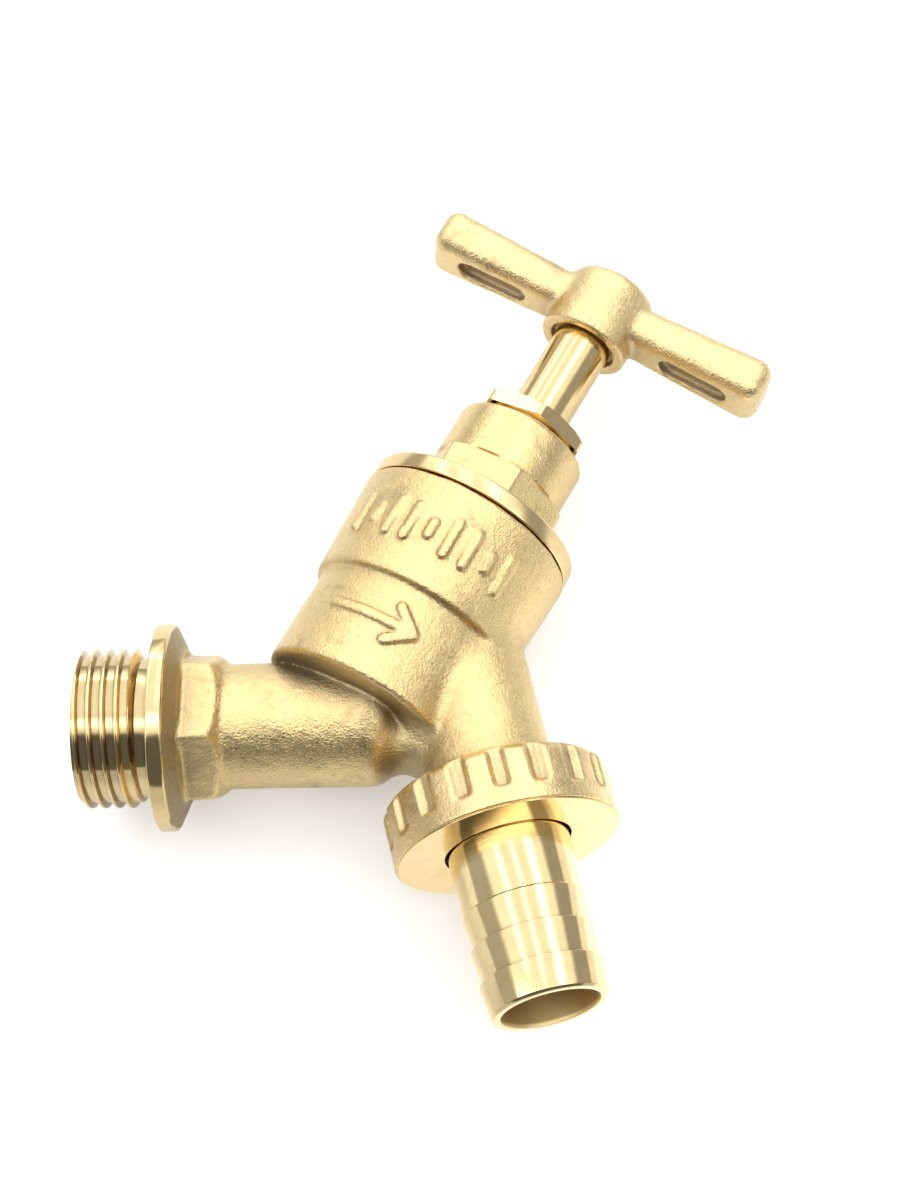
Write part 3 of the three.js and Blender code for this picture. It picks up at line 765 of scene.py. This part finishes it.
def raised(strokes, angle, radial, along, surface_radius, half_width):
    """Strokes that stand on a round surface, rooted in it."""
    round_ = angle * surface_radius
    outline = np.minimum.reduce([stroke(round_, along, start, end, half_width) for start, end in strokes])
    root = 1.0
    height = np.abs(radial - surface_radius + root - MARK_RISE / 2) - root - MARK_RISE / 2
    return rounded(outline, height, 0.22)


def foundry_marks(across, side, along):
    radial = np.hypot(across, side)
    angle = np.arctan2(across, -side)
    boss_radius = (BOSS_BOTTOM_R + BOSS_TOP_R) / 2
    on_boss = raised(bars(), angle, radial, along, boss_radius, BAR_HALF_WIDTH)
    on_barrel = raised(flow_arrow(), angle, radial, along, BARREL_R, ARROW_HALF_WIDTH)
    return np.minimum(on_boss, on_barrel)


def valve_chamber(radial, along):
    """The seat bore, the space round the raised seat ring and the mouth that takes the bonnet."""
    seat_bore = drum(radial, along, SEAT_BORE_R, BARREL_BOTTOM - 1, SEAT_TOP + 2, 0.1)
    chamber = drum(radial, along, CHAMBER_R, CHAMBER_FLOOR, MOUTH_START + 2, 0.3)
    ring = drum(radial, along, SEAT_RING_R, CHAMBER_FLOOR - 3, SEAT_TOP, 0.2)
    mouth = drum(radial, along, MOUTH_R, MOUTH_START, BOSS_TOP + 3, 0.1)
    recess = drum(radial, along, RECESS_R, RECESS_FLOOR, BOSS_TOP + 3, 0.1)
    upper = np.minimum(np.maximum(chamber, -ring), np.minimum(mouth, recess))
    return np.minimum(upper, seat_bore)


def body_distance(x, y, z):
    across, side, along = local((x, y, z), SPINDLE)
    radial = np.hypot(across, side)
    outside = blended(barrel_and_boss_outside(radial, along), inlet_outside(x, y, z), BARREL_FILLET)
    outside = blended(outside, spout_outside(x, y, z), SPOUT_FILLET)
    outside = blended(outside, root_web(x, y, z), WEB_FILLET)
    outside = outside + unevenness(x, y, z, 0.07)
    outside = blended(outside, foundry_marks(across, side, along), 0.45)
    inlet_radial = np.hypot(y, z)
    whole = carved(outside, drum(inlet_radial, x, INLET_BORE_R, -3, INLET_BORE_END, 0.4))
    whole = carved(whole, valve_chamber(radial, along))
    across, side, along = local((x, y, z), OUTLET)
    spout_bore = drum(np.hypot(across, side), along, SPOUT_BORE_R, SPOUT_ROOT, OUTLET_END + 3, 0.4)
    return np.maximum(carved(whole, spout_bore), CASTING_START - x)


def body_casting():
    low, high = (0.9, -16.6, -17.5), (58.5, 16.6, 36.5)
    vertices, faces = surface_net(body_distance, low, high, BODY_CELL)
    piece = made_piece("body_casting", vertices, faces, Matrix.Identity(4), 50)
    finish_piece(piece, BODY_BRASS, "cast_brass", "tap_body", "valve_body")


def inlet_thread():
    """The machined inlet: its bore, thread, relief neck and flange rim."""
    root = INLET_THREAD_R - INLET_THREAD_DEPTH
    before = [
        (INLET_BORE_R, FLANGE_RIM + 0.2, 0.0),
        (INLET_BORE_R, INLET_END + 0.6, 0.2),
        (INLET_BORE_R + 0.6, INLET_END, 0.2),
        (root, INLET_END, 0.0),
    ]
    after = [
        (RELIEF_R, -RELIEF_LENGTH, 0.0),
        (RELIEF_R, -0.7, 0.1),
        (RELIEF_R + 0.8, -0.7, 0.1),
        (RELIEF_R + 0.8, 0.0, 0.15),
        (FLANGE_R, 0.0, 0.25),
        (FLANGE_R, FLANGE_RIM, 0.3),
        (FLANGE_R - 0.7, FLANGE_RIM + 0.2, 0.0),
    ]
    piece = threaded("inlet_thread", before, after, INLET_THREAD_R, INLET_THREAD_DEPTH, INLET, 192)
    finish_piece(piece, POLISHED_BRASS, "machined_brass", "tap_body", "valve_body")


def outlet_thread():
    root = OUTLET_THREAD_R - PIPE_DEPTH
    before = [
        (SPOUT_BORE_R + 0.05, OUTLET_THREAD_START - 0.4, 0.0),
        (root - 0.2, OUTLET_THREAD_START - 0.4, 0.2),
        (root, OUTLET_THREAD_START, 0.0),
    ]
    after = [(root - 0.2, OUTLET_END, 0.0), (SPOUT_BORE_R + 0.05, OUTLET_END, 0.0)]
    piece = threaded("outlet_thread", before, after, OUTLET_THREAD_R, PIPE_DEPTH, OUTLET)
    finish_piece(piece, TURNED_BRASS, "machined_brass", "tap_body", "valve_body")


# ---------- bonnet, gland and spindle ----------
def bonnet_casting():
    """The hexagon and the stuffing box, with the threaded skirt below and the packing box above."""
    hex_top = BONNET_HEX_TOP - HEX_CHAMFER_SLOPE * (BONNET_HEX_R + 0.4 - STUFFING_BOX_R)
    outline = [
        (SPINDLE_BORE_R, BONNET_BOTTOM, 0.2),
        (BONNET_THREAD_R, BONNET_BOTTOM, 0.4),
        (BONNET_THREAD_R, RECESS_FLOOR, 0.2),
        (BONNET_THREAD_R - 0.8, RECESS_FLOOR + 0.3, 0.1),
        (BONNET_THREAD_R - 0.8, BONNET_FLANGE_TOP - 0.4, 0.1),
        (BONNET_HEX_R + 0.4, BONNET_FLANGE_TOP - 0.4, 0.0),
        (BONNET_HEX_R + 0.4, hex_top, 0.0),
        (STUFFING_BOX_R, BONNET_HEX_TOP, 0.0),
        (STUFFING_BOX_R, STUFFING_BOX_TOP, 0.7),
        (PACKING_BOX_R, STUFFING_BOX_TOP, 0.25),
        (PACKING_BOX_R, PACKING_FLOOR, 0.1),
        (STEM_HOLE_R, PACKING_FLOOR, 0.1),
        (STEM_HOLE_R, SPINDLE_BORE_TOP, 0.1),
        (SPINDLE_BORE_R, SPINDLE_BORE_TOP, 0.1),
    ]

    def on_hexagon(radius, height):
        in_height = (height > BONNET_FLANGE_TOP - 0.5) & (height < BONNET_HEX_TOP - 0.02)
        return in_height & (radius > STUFFING_BOX_R)

    flats = six_sided(BONNET_HEX_R - BONNET_HEX_STEP, BONNET_HEX_TURN, on_hexagon)
    piece = turned("bonnet_casting", outline, SPINDLE, flats, even_angles(240, BONNET_HEX_TURN), 0.4)
    finish_piece(piece, BONNET_BRASS, "cast_brass", "tap_body", "bonnet")


def bonnet_flange():
    outline = [
        (BONNET_THREAD_R - 0.9, BONNET_FLANGE_BOTTOM, 0.1),
        (BONNET_FLANGE_R, BONNET_FLANGE_BOTTOM, 0.25),
        (BONNET_FLANGE_R, BONNET_FLANGE_TOP, 0.45),
        (BONNET_THREAD_R - 0.9, BONNET_FLANGE_TOP, 0.0),
        (BONNET_THREAD_R - 2.9, BONNET_FLANGE_TOP - 0.3, 0.0),
    ]
    piece = turned("bonnet_flange", outline, SPINDLE, angles=even_angles(192))
    finish_piece(piece, TURNED_BRASS, "machined_brass", "tap_body", "bonnet")


def gland_nut():
    side_top = GLAND_HEX_TOP - HEX_CHAMFER_SLOPE * GLAND_CHAMFER - 0.1
    outline = [
        (STEM_HOLE_R, FOLLOWER_TOP + GAP, 0.1),
        (GLAND_NECK_R, FOLLOWER_TOP + GAP, 0.2),
        (GLAND_NECK_R, GLAND_HEX_BOTTOM, 0.15),
        (GLAND_HEX_R + 0.2, GLAND_HEX_BOTTOM, 0.2),
        (GLAND_HEX_R + 0.2, side_top, 0.0),
        (GLAND_HEX_R - GLAND_CHAMFER, GLAND_HEX_TOP, 0.15),
        (STEM_HOLE_R, GLAND_HEX_TOP, 0.25),
    ]
    flats = six_sided(GLAND_HEX_R, GLAND_HEX_TURN)
    piece = turned("gland_nut_turned", outline, SPINDLE, flats, even_angles(192, GLAND_HEX_TURN), 0.35)
    finish_piece(piece, POLISHED_BRASS, "machined_brass", "tap_body", "gland_nut")


def square_ended(radius, height, angles):
    """Squares the spindle above its stem, turned with the handle."""
    square = polygon_radius(angles, SQUARE_HALF * math.sqrt(2), HANDLE_TURN + math.pi / 4, sides=4)
    return np.where(height > STEM_TOP, np.minimum(radius, square[None, :]), radius), height


def spindle_thread(radius, height, angles):
    """The coarse lifting thread round the spindle, and its square end."""
    climb = (height - SPINDLE_THREAD_START) / SPINDLE_PITCH - angles[None, :] / (2 * math.pi)
    wave = 0.4 - 0.4 * np.cos(2 * math.pi * climb)
    in_height = (height > SPINDLE_THREAD_START + 0.2) & (height < SPINDLE_THREAD_END - 0.2)
    on_thread = in_height & (radius > STEM_R + 0.5)
    return square_ended(np.where(on_thread, radius - wave, radius), height, angles)


def spindle():
    socket_top = SPINDLE_FOOT + JUMPER_STEM_LENGTH + 1
    outline = [
        (0.0, socket_top, 0.0),
        (JUMPER_STEM_R + GAP, socket_top, 0.1),
        (JUMPER_STEM_R + GAP, SPINDLE_FOOT, 0.2),
        (SPINDLE_FOOT_R, SPINDLE_FOOT, 0.3),
        (SPINDLE_FOOT_R, SPINDLE_THREAD_START, 0.1),
        (SPINDLE_THREAD_R, SPINDLE_THREAD_START, 0.4),
        (SPINDLE_THREAD_R, SPINDLE_THREAD_END, 0.4),
        (STEM_R, SPINDLE_THREAD_END, 0.1),
        (STEM_R, STEM_TOP, 0.3),
        (SQUARE_HALF * 1.2, STEM_TOP + 0.1, 0.0),
        (SQUARE_HALF * 1.4, STEM_TOP + 0.3, 0.0),
        (SQUARE_HALF * 1.4, SQUARE_TOP, 0.3),
        (0.0, SQUARE_TOP, 0.0),
    ]
    piece = turned("spindle_turned", outline, SPINDLE, spindle_thread, even_angles(96), 0.3)
    finish_piece(piece, POLISHED_BRASS, "machined_brass", "spindle_and_handle", "spindle")


def washers_and_packing():
    """Plain rings, each with its inner and outer radius, the two heights of its faces, and its eased edge."""
    rings = [
        ("fibre_washer", "bonnet_washer", "tap_body", SPINDLE, FIBRE, "red_fibre",
         BONNET_THREAD_R + GAP, RECESS_R - GAP, RECESS_FLOOR + GAP, BOSS_TOP, 0.12),
        ("packing_ring", "gland_packing", "tap_body", SPINDLE, PACKING, "white_packing",
         STEM_HOLE_R, PACKING_R, PACKING_FLOOR + GAP, PACKING_TOP, 0.4),
        ("follower_ring", "gland_follower", "tap_body", SPINDLE, TURNED_BRASS, "machined_brass",
         STEM_HOLE_R, PACKING_R, PACKING_TOP + GAP, FOLLOWER_TOP, 0.12),
        ("rubber_washer", "hose_washer", "union_washer", OUTLET, RUBBER, "black_rubber",
         HOSE_WASHER_BORE_R, HOSE_WASHER_R, HOSE_WASHER_TOP, HOSE_WASHER_TOP + HOSE_WASHER_THICK, 0.3),
        ("jumper_rubber", "jumper_washer", "jumper", SPINDLE, RUBBER, "black_rubber",
         JUMPER_STUD_R + GAP, JUMPER_WASHER_R, JUMPER_BOTTOM, JUMPER_BOTTOM + JUMPER_WASHER_THICK, 0.4),
    ]
    for name, node, body, placement, material, slot, inner, outer, low, high, ease in rings:
        outline = [(inner, low, ease), (outer, low, ease), (outer, high, ease), (inner, high, ease)]
        finish_piece(turned(name, outline, placement, angles=even_angles(96)), material, slot, body, node)


def jumper():
    plate = JUMPER_BOTTOM + JUMPER_WASHER_THICK + GAP
    plate_top = plate + JUMPER_PLATE_THICK
    stem_top = plate_top + JUMPER_STEM_LENGTH
    nut_top = JUMPER_BOTTOM - GAP
    nut_bottom = nut_top - JUMPER_NUT_THICK
    outline = [
        (0.0, nut_bottom, 0.0),
        (JUMPER_STUD_R, nut_bottom, 0.3),
        (JUMPER_STUD_R, plate, 0.1),
        (JUMPER_PLATE_R, plate, 0.3),
        (JUMPER_PLATE_R, plate_top, 0.4),
        (JUMPER_STEM_R, plate_top, 0.2),
        (JUMPER_STEM_R, stem_top, 0.5),
        (0.0, stem_top, 0.0),
    ]
    piece = turned("jumper_turned", outline, SPINDLE, angles=even_angles(96))
    finish_piece(piece, TURNED_BRASS, "machined_brass", "jumper", "jumper_valve")
    nut_outline = [
        (JUMPER_STUD_R + GAP, nut_bottom, 0.15),
        (JUMPER_NUT_R - 0.3, nut_bottom, 0.0),
        (JUMPER_NUT_R, nut_bottom + 0.3, 0.0),
        (JUMPER_NUT_R, nut_top, 0.1),
        (JUMPER_STUD_R + GAP, nut_top, 0.15),
    ]
    nut = turned("jumper_nut", nut_outline, SPINDLE, six_sided(JUMPER_NUT_R, 0.0), even_angles(96), 0.4)
    finish_piece(nut, TURNED_BRASS, "machined_brass", "jumper", "jumper_washer_nut")


# ---------- handle ----------
def handle_arms(x, y, z):
    """Both arms as one bar that grows towards its ends."""
    share = np.clip(np.abs(x) / ARM_LENGTH, 0, 1)
    half_width = ARM_HALF_WIDTH[0] + (ARM_HALF_WIDTH[1] - ARM_HALF_WIDTH[0]) * share
    half_thick = ARM_HALF_THICK[0] + (ARM_HALF_THICK[1] - ARM_HALF_THICK[0]) * share
    over = [
        np.abs(x) - (ARM_LENGTH - ARM_EDGE),
        np.abs(y) - (half_width - ARM_EDGE),
        np.abs(z - ARM_HEIGHT) - (half_thick - ARM_EDGE),
    ]
    outside = np.sqrt(sum(np.maximum(part, 0) ** 2 for part in over))
    return outside + np.minimum(np.maximum.reduce(over), 0) - ARM_EDGE


def handle_slots(x, y, z):
    """The cored recess under each arm."""
    middle = (SLOT_FROM + SLOT_TO) / 2
    half_run = (SLOT_TO - SLOT_FROM) / 2 - SLOT_HALF_WIDTH
    slot = stroke(np.abs(x) - middle, y, (-half_run, 0), (half_run, 0), SLOT_HALF_WIDTH)
    half_depth = 5
    return rounded(slot, np.abs(z - SLOT_FLOOR + half_depth) - half_depth, 0.6)


def square_socket(x, y, z):
    """The square hole for the spindle's end, with room round it."""
    across = np.maximum(np.abs(x), np.abs(y)) - SQUARE_HALF - GAP
    top = SQUARE_TOP + GAP
    return np.maximum(across, np.abs(z - (HUB_BOTTOM + top) / 2) - (top - HUB_BOTTOM) / 2)


def handle_distance(x, y, z):
    """The cast crutch handle, in its own frame: arms along x, spindle along z."""
    radial = np.hypot(x, y)
    hub = np.minimum(
        drum(radial, z, HUB_R, HUB_BOTTOM, HUB_TOP, 1.5),
        drum(radial, z, HUB_R, HUB_BOTTOM, HUB_TOP - 3, 0.45),
    )
    whole = blended(hub, handle_arms(x, y, z), HANDLE_FILLET) + unevenness(x, y, z - 20, 0.06)
    whole = carved(whole, handle_slots(x, y, z), 0.5)
    whole = carved(whole, drum(radial, z, HUB_RECESS_R, HUB_BOTTOM - 3, HUB_RECESS_TOP, 0.1), 0.3)
    whole = np.maximum(whole, -square_socket(x, y, z))
    grub_hole = np.maximum(np.hypot(x, z - ARM_HEIGHT) - GRUB_HOLE_R, -y)
    return carved(whole, grub_hole, 0.2)


def crutch_handle():
    margin = 0.8
    low = (-ARM_LENGTH - margin, -HUB_R - margin, HUB_BOTTOM - margin)
    high = (ARM_LENGTH + margin, HUB_R + margin, HUB_TOP + margin)
    vertices, faces = surface_net(handle_distance, low, high, HANDLE_CELL)
    piece = made_piece("handle_casting", vertices, faces, HANDLE, 50)
    finish_piece(piece, HANDLE_BRASS, "cast_brass", "spindle_and_handle", "crutch_handle")


def grub_screw():
    """A cup-point screw in the side of the hub, with a hexagon socket."""
    axis = HANDLE @ Matrix.Translation((0, 0, ARM_HEIGHT * MM)) @ Matrix.Rotation(math.radians(-90), 4, "X")
    outline = [
        (0.0, GRUB_FROM, 0.0),
        (GRUB_R - 0.5, GRUB_FROM, 0.0),
        (GRUB_R, GRUB_FROM + 0.5, 0.1),
        (GRUB_R, GRUB_TO, 0.25),
        (SOCKET_R, GRUB_TO, 0.1),
        (SOCKET_R, GRUB_TO - SOCKET_DEPTH, 0.0),
        (0.0, GRUB_TO - SOCKET_DEPTH - 0.2, 0.0),
    ]

    def in_socket(radius, height):
        return (radius < SOCKET_R + 0.15) & (height > GRUB_TO - SOCKET_DEPTH - 0.1)

    piece = turned("grub_screw", outline, axis, six_sided(SOCKET_R, 0.0, in_socket), even_angles(72), 0.3)
    finish_piece(piece, STEEL, "dark_steel", "spindle_and_handle", "handle_grub_screw")


# ---------- union ----------
def groove_angles():
    """Column angles that follow the walls and the floor of every grip groove."""
    wall = np.linspace(UNION_GROOVE_HALF_FLOOR, UNION_GROOVE_HALF_WIDTH, 5)
    floor = np.linspace(-UNION_GROOVE_HALF_FLOOR, UNION_GROOVE_HALF_FLOOR, 7)[1:-1]
    next_wall = UNION_GROOVE_PITCH * UNION_R - UNION_GROOVE_HALF_WIDTH
    land = np.linspace(UNION_GROOVE_HALF_WIDTH, next_wall, 8)[1:-1]
    offsets = np.concatenate([-wall[::-1], floor, wall, land]) / UNION_R
    middles = FIRST_GROOVE + np.arange(UNION_GROOVES) * UNION_GROOVE_PITCH
    return (middles[:, None] + offsets).ravel()


def grooved(radius, height, angles):
    """Cuts the grip grooves, open at the nut's top and nearly square at their lower end."""
    half_pitch = UNION_GROOVE_PITCH / 2
    across = (np.mod(angles - FIRST_GROOVE + half_pitch, UNION_GROOVE_PITCH) - half_pitch) * UNION_R
    past_end = np.maximum(height - (UNION_GROOVE_END - UNION_GROOVE_HALF_WIDTH), 0)
    reach = (across[None, :] ** 4 + past_end ** 4) ** 0.25
    wall = UNION_GROOVE_HALF_WIDTH - UNION_GROOVE_HALF_FLOOR
    share = np.clip((UNION_GROOVE_HALF_WIDTH - reach) / wall, 0, 1)
    eased = share * share * (3 - 2 * share)
    outer = radius > UNION_R - 1
    floor = UNION_R - UNION_GROOVE_DEPTH
    return np.where(outer, radius - eased * np.maximum(radius - floor, 0), radius), height


def union_nut():
    inner_floor = COLLAR_BOTTOM + GAP
    outline = [
        (UNION_THREAD_R, UNION_TOP, 0.2),
        (UNION_R - 0.8, UNION_TOP, 0.3),
        (UNION_R, UNION_TOP + 0.8, 0.5),
        (UNION_R, UNION_BOTTOM - 0.25, 0.4),
        (UNION_R - 0.45, UNION_BOTTOM - 0.2, 0.0),
        (UNION_HOLE_R, UNION_BOTTOM - 0.2, 0.0),
        (UNION_HOLE_R, inner_floor, 0.2),
        (UNION_THREAD_R, inner_floor, 0.2),
    ]
    casting = turned("union_nut_casting", outline, OUTLET, grooved, groove_angles(), 0.3)
    finish_piece(casting, NUT_BRASS, "cast_brass", "nut", "union_nut")
    face_outline = [
        (UNION_HOLE_R - 0.03, UNION_BOTTOM, 0.25),
        (UNION_HOLE_R - 0.03, UNION_BOTTOM - UNION_FACE_THICK, 0.0),
        (UNION_R - 0.5, UNION_BOTTOM - UNION_FACE_THICK, 0.0),
        (UNION_R - 0.3, UNION_BOTTOM, 0.15),
    ]
    face = turned("union_nut_face", face_outline, OUTLET, angles=even_angles(192))
    finish_piece(face, POLISHED_BRASS, "machined_brass", "nut", "union_nut")


def hose_tail():
    """The loose tail: a collar held by the nut, a plain barrel, three shallow barbs and a chamfered tip."""
    barbs = []
    ends = [start - BARB_EDGE for start in BARB_STARTS[1:]] + [TAIL_END - TIP_CHAMFER]
    for start, end in zip(BARB_STARTS, ends):
        barbs += [(BARB_R, start, BARB_EDGE), (BARB_FOOT_R, end, 0.08)]
    outline = [
        (TAIL_BORE_R, COLLAR_TOP, 0.2),
        (COLLAR_R, COLLAR_TOP, 0.2),
        (COLLAR_R, COLLAR_BOTTOM, 0.2),
        (TAIL_R, COLLAR_BOTTOM, 0.2),
        (TAIL_R, BARB_STARTS[0] - BARB_EDGE, 0.08),
        *barbs,
        (BARB_FOOT_R - 0.3, TAIL_END, 0.15),
        (TAIL_BORE_R + 0.1, TAIL_END, 0.12),
        (TAIL_BORE_R, TAIL_END - 0.5, 0.1),
    ]
    piece = turned("hose_tail_turned", outline, OUTLET, angles=even_angles(224))
    finish_piece(piece, TAIL_BRASS, "machined_brass", "tail", "hose_tail")


# ---------- stage, light and camera ----------
def board():
    """The pale board behind the tap. Its back can't be seen, so it hides nothing from behind. Only in what
    the brass reflects, the board carries painted shade towards the bottom and a painted pool of light to the
    lower right."""
    depth = CAD_BOX[1].y / MM + BOARD_GAP
    middle = CAMERA_TARGET / MM
    corners = [
        (middle.x + i * BOARD_HALF_SIZE, depth, middle.z + k * BOARD_HALF_SIZE)
        for i, k in ((-1, -1), (1, -1), (1, 1), (-1, 1))
    ]
    mesh = bpy.data.meshes.new("board")
    mesh.from_pydata([tuple(MM * value for value in corner) for corner in corners], [], [(0, 1, 2, 3)])
    made = bpy.data.objects.new("board", mesh)
    bpy.context.scene.collection.objects.link(made)
    material, tree, shader, place = blank_material("board_white")
    path = add_node(tree, "ShaderNodeLightPath").outputs
    mottle = noise(tree, place, 0.4, 3.0, 0.5)
    paper = mixed_colour(tree, mottle, (0.9, 0.9, 0.905, 1), (0.93, 0.93, 0.935, 1))
    height = add_node(tree, "ShaderNodeSeparateXYZ", {0: place}).outputs[2]
    # Painted shade, seen only in reflections: the board goes darker towards the bottom
    shaded = worked(tree, "MULTIPLY", ranged(tree, height, -12.0, -60.0, 0.0, 0.42), path["Is Glossy Ray"])
    tree.links.new(mixed_colour(tree, shaded, paper, (0, 0, 0, 1)), shader.inputs["Base Color"])
    shader.inputs["Roughness"].default_value = 0.7
    shader.inputs["Emission Color"].default_value = (0.98, 0.99, 1.0, 1)
    # Painted light, seen only in reflections: a pool of glow to the lower right
    from_pool = add_node(tree, "ShaderNodeVectorMath", {0: place, 1: POOL}, operation="DISTANCE").outputs[1]
    pool = ranged(tree, from_pool, 20.0, 60.0, 0.7, 0.0, smooth=True)
    glow = worked(tree, "MULTIPLY", pool, path["Is Glossy Ray"])
    backlight = worked(tree, "MULTIPLY", path["Is Camera Ray"], 0.34)
    tree.links.new(worked(tree, "ADD", glow, backlight), shader.inputs["Emission Strength"])
    behind = add_node(tree, "ShaderNodeNewGeometry").outputs["Backfacing"]
    clear = add_node(tree, "ShaderNodeBsdfTransparent").outputs[0]
    both = add_node(tree, "ShaderNodeMixShader", {0: behind, 1: shader.outputs[0], 2: clear})
    tree.links.new(both.outputs[0], tree.nodes["Material Output"].inputs[0])
    mesh.materials.append(material)


def window(tree, value, middle, half, soft, strength):
    """A strength that holds while a value is within half of the middle, and is gone past a soft edge."""
    away = worked(tree, "ABSOLUTE", worked(tree, "SUBTRACT", value, middle))
    return ranged(tree, away, half, half + soft, strength, 0.0, smooth=True)


def soft_room():
    """A bright room in front of the board: a wide pale window with white strips in it, darker walls on both
    sides, a dim ceiling and a dark floor. Round is the angle to the right of straight out from the board."""
    world = bpy.data.worlds.new("soft_room")
    bpy.context.scene.world = world
    world.use_nodes = True
    tree = world.node_tree
    tree.nodes.clear()
    direction = add_node(tree, "ShaderNodeTexCoord").outputs["Generated"]
    x, y, z = add_node(tree, "ShaderNodeSeparateXYZ", {0: direction}).outputs
    round_ = worked(tree, "ARCTAN2", x, worked(tree, "MULTIPLY", y, -1.0))

    high = ranged(tree, z, -0.05, 0.12, 0.0, 1.0, smooth=True)
    upright = 0.0
    for strip in UPRIGHT_STRIPS:
        upright = worked(tree, "ADD", window(tree, round_, *strip), upright)
    strips = worked(tree, "MULTIPLY", high, upright)
    for strip in LEVEL_STRIPS:
        strips = worked(tree, "ADD", window(tree, z, *strip), strips)
    front = window(tree, round_, 0.0, 0.90, 0.16, 1.0)
    ceiling = ranged(tree, z, 0.90, 0.96, 0.82, 0.4, smooth=True)
    in_window = worked(tree, "MULTIPLY", front, worked(tree, "ADD", strips, ceiling))
    left_wall = ranged(tree, round_, -0.3, -0.9, 0.0, 0.08, smooth=True)
    walls = worked(tree, "ADD", worked(tree, "ADD", left_wall, 0.27), in_window)
    above_floor = ranged(tree, z, -0.55, -0.44, 0.0, 1.0, smooth=True)
    total = worked(tree, "ADD", worked(tree, "MULTIPLY", walls, above_floor), 0.13)

    room = add_node(tree, "ShaderNodeBackground", {0: (1.0, 1.0, 0.99, 1), 1: total})
    white = add_node(tree, "ShaderNodeBackground", {0: (1, 1, 1, 1), 1: 1.15})
    seen = add_node(tree, "ShaderNodeLightPath").outputs["Is Camera Ray"]
    both = add_node(tree, "ShaderNodeMixShader", {0: seen, 1: room.outputs[0], 2: white.outputs[0]})
    output = add_node(tree, "ShaderNodeOutputWorld")
    tree.links.new(both.outputs[0], output.inputs[0])


def camera():
    made = bpy.data.objects.new("camera", bpy.data.cameras.new("camera"))
    bpy.context.scene.collection.objects.link(made)
    azimuth, elevation = math.radians(CAMERA_AZIMUTH), math.radians(CAMERA_ELEVATION)
    back = Vector((
        math.sin(azimuth) * math.cos(elevation),
        -math.cos(azimuth) * math.cos(elevation),
        math.sin(elevation),
    ))
    turn = (-back).to_track_quat("-Z", "Y").to_matrix().to_4x4()
    made.matrix_world = (
        Matrix.Translation(CAMERA_TARGET + back * CAMERA_DISTANCE)
        @ turn
        @ Matrix.Rotation(math.radians(CAMERA_ROLL), 4, "Z")
    )
    made.data.lens = CAMERA_LENS
    made.data.sensor_width = 36.0
    made.data.clip_start = 0.01
    bpy.context.scene.camera = made


for build in (
    body_casting, inlet_thread, outlet_thread, bonnet_casting, bonnet_flange, gland_nut, spindle,
    washers_and_packing, jumper, crutch_handle, grub_screw, union_nut, hose_tail, board, soft_room, camera,
):
    build()
bpy.context.scene.view_settings.view_transform = "Standard"
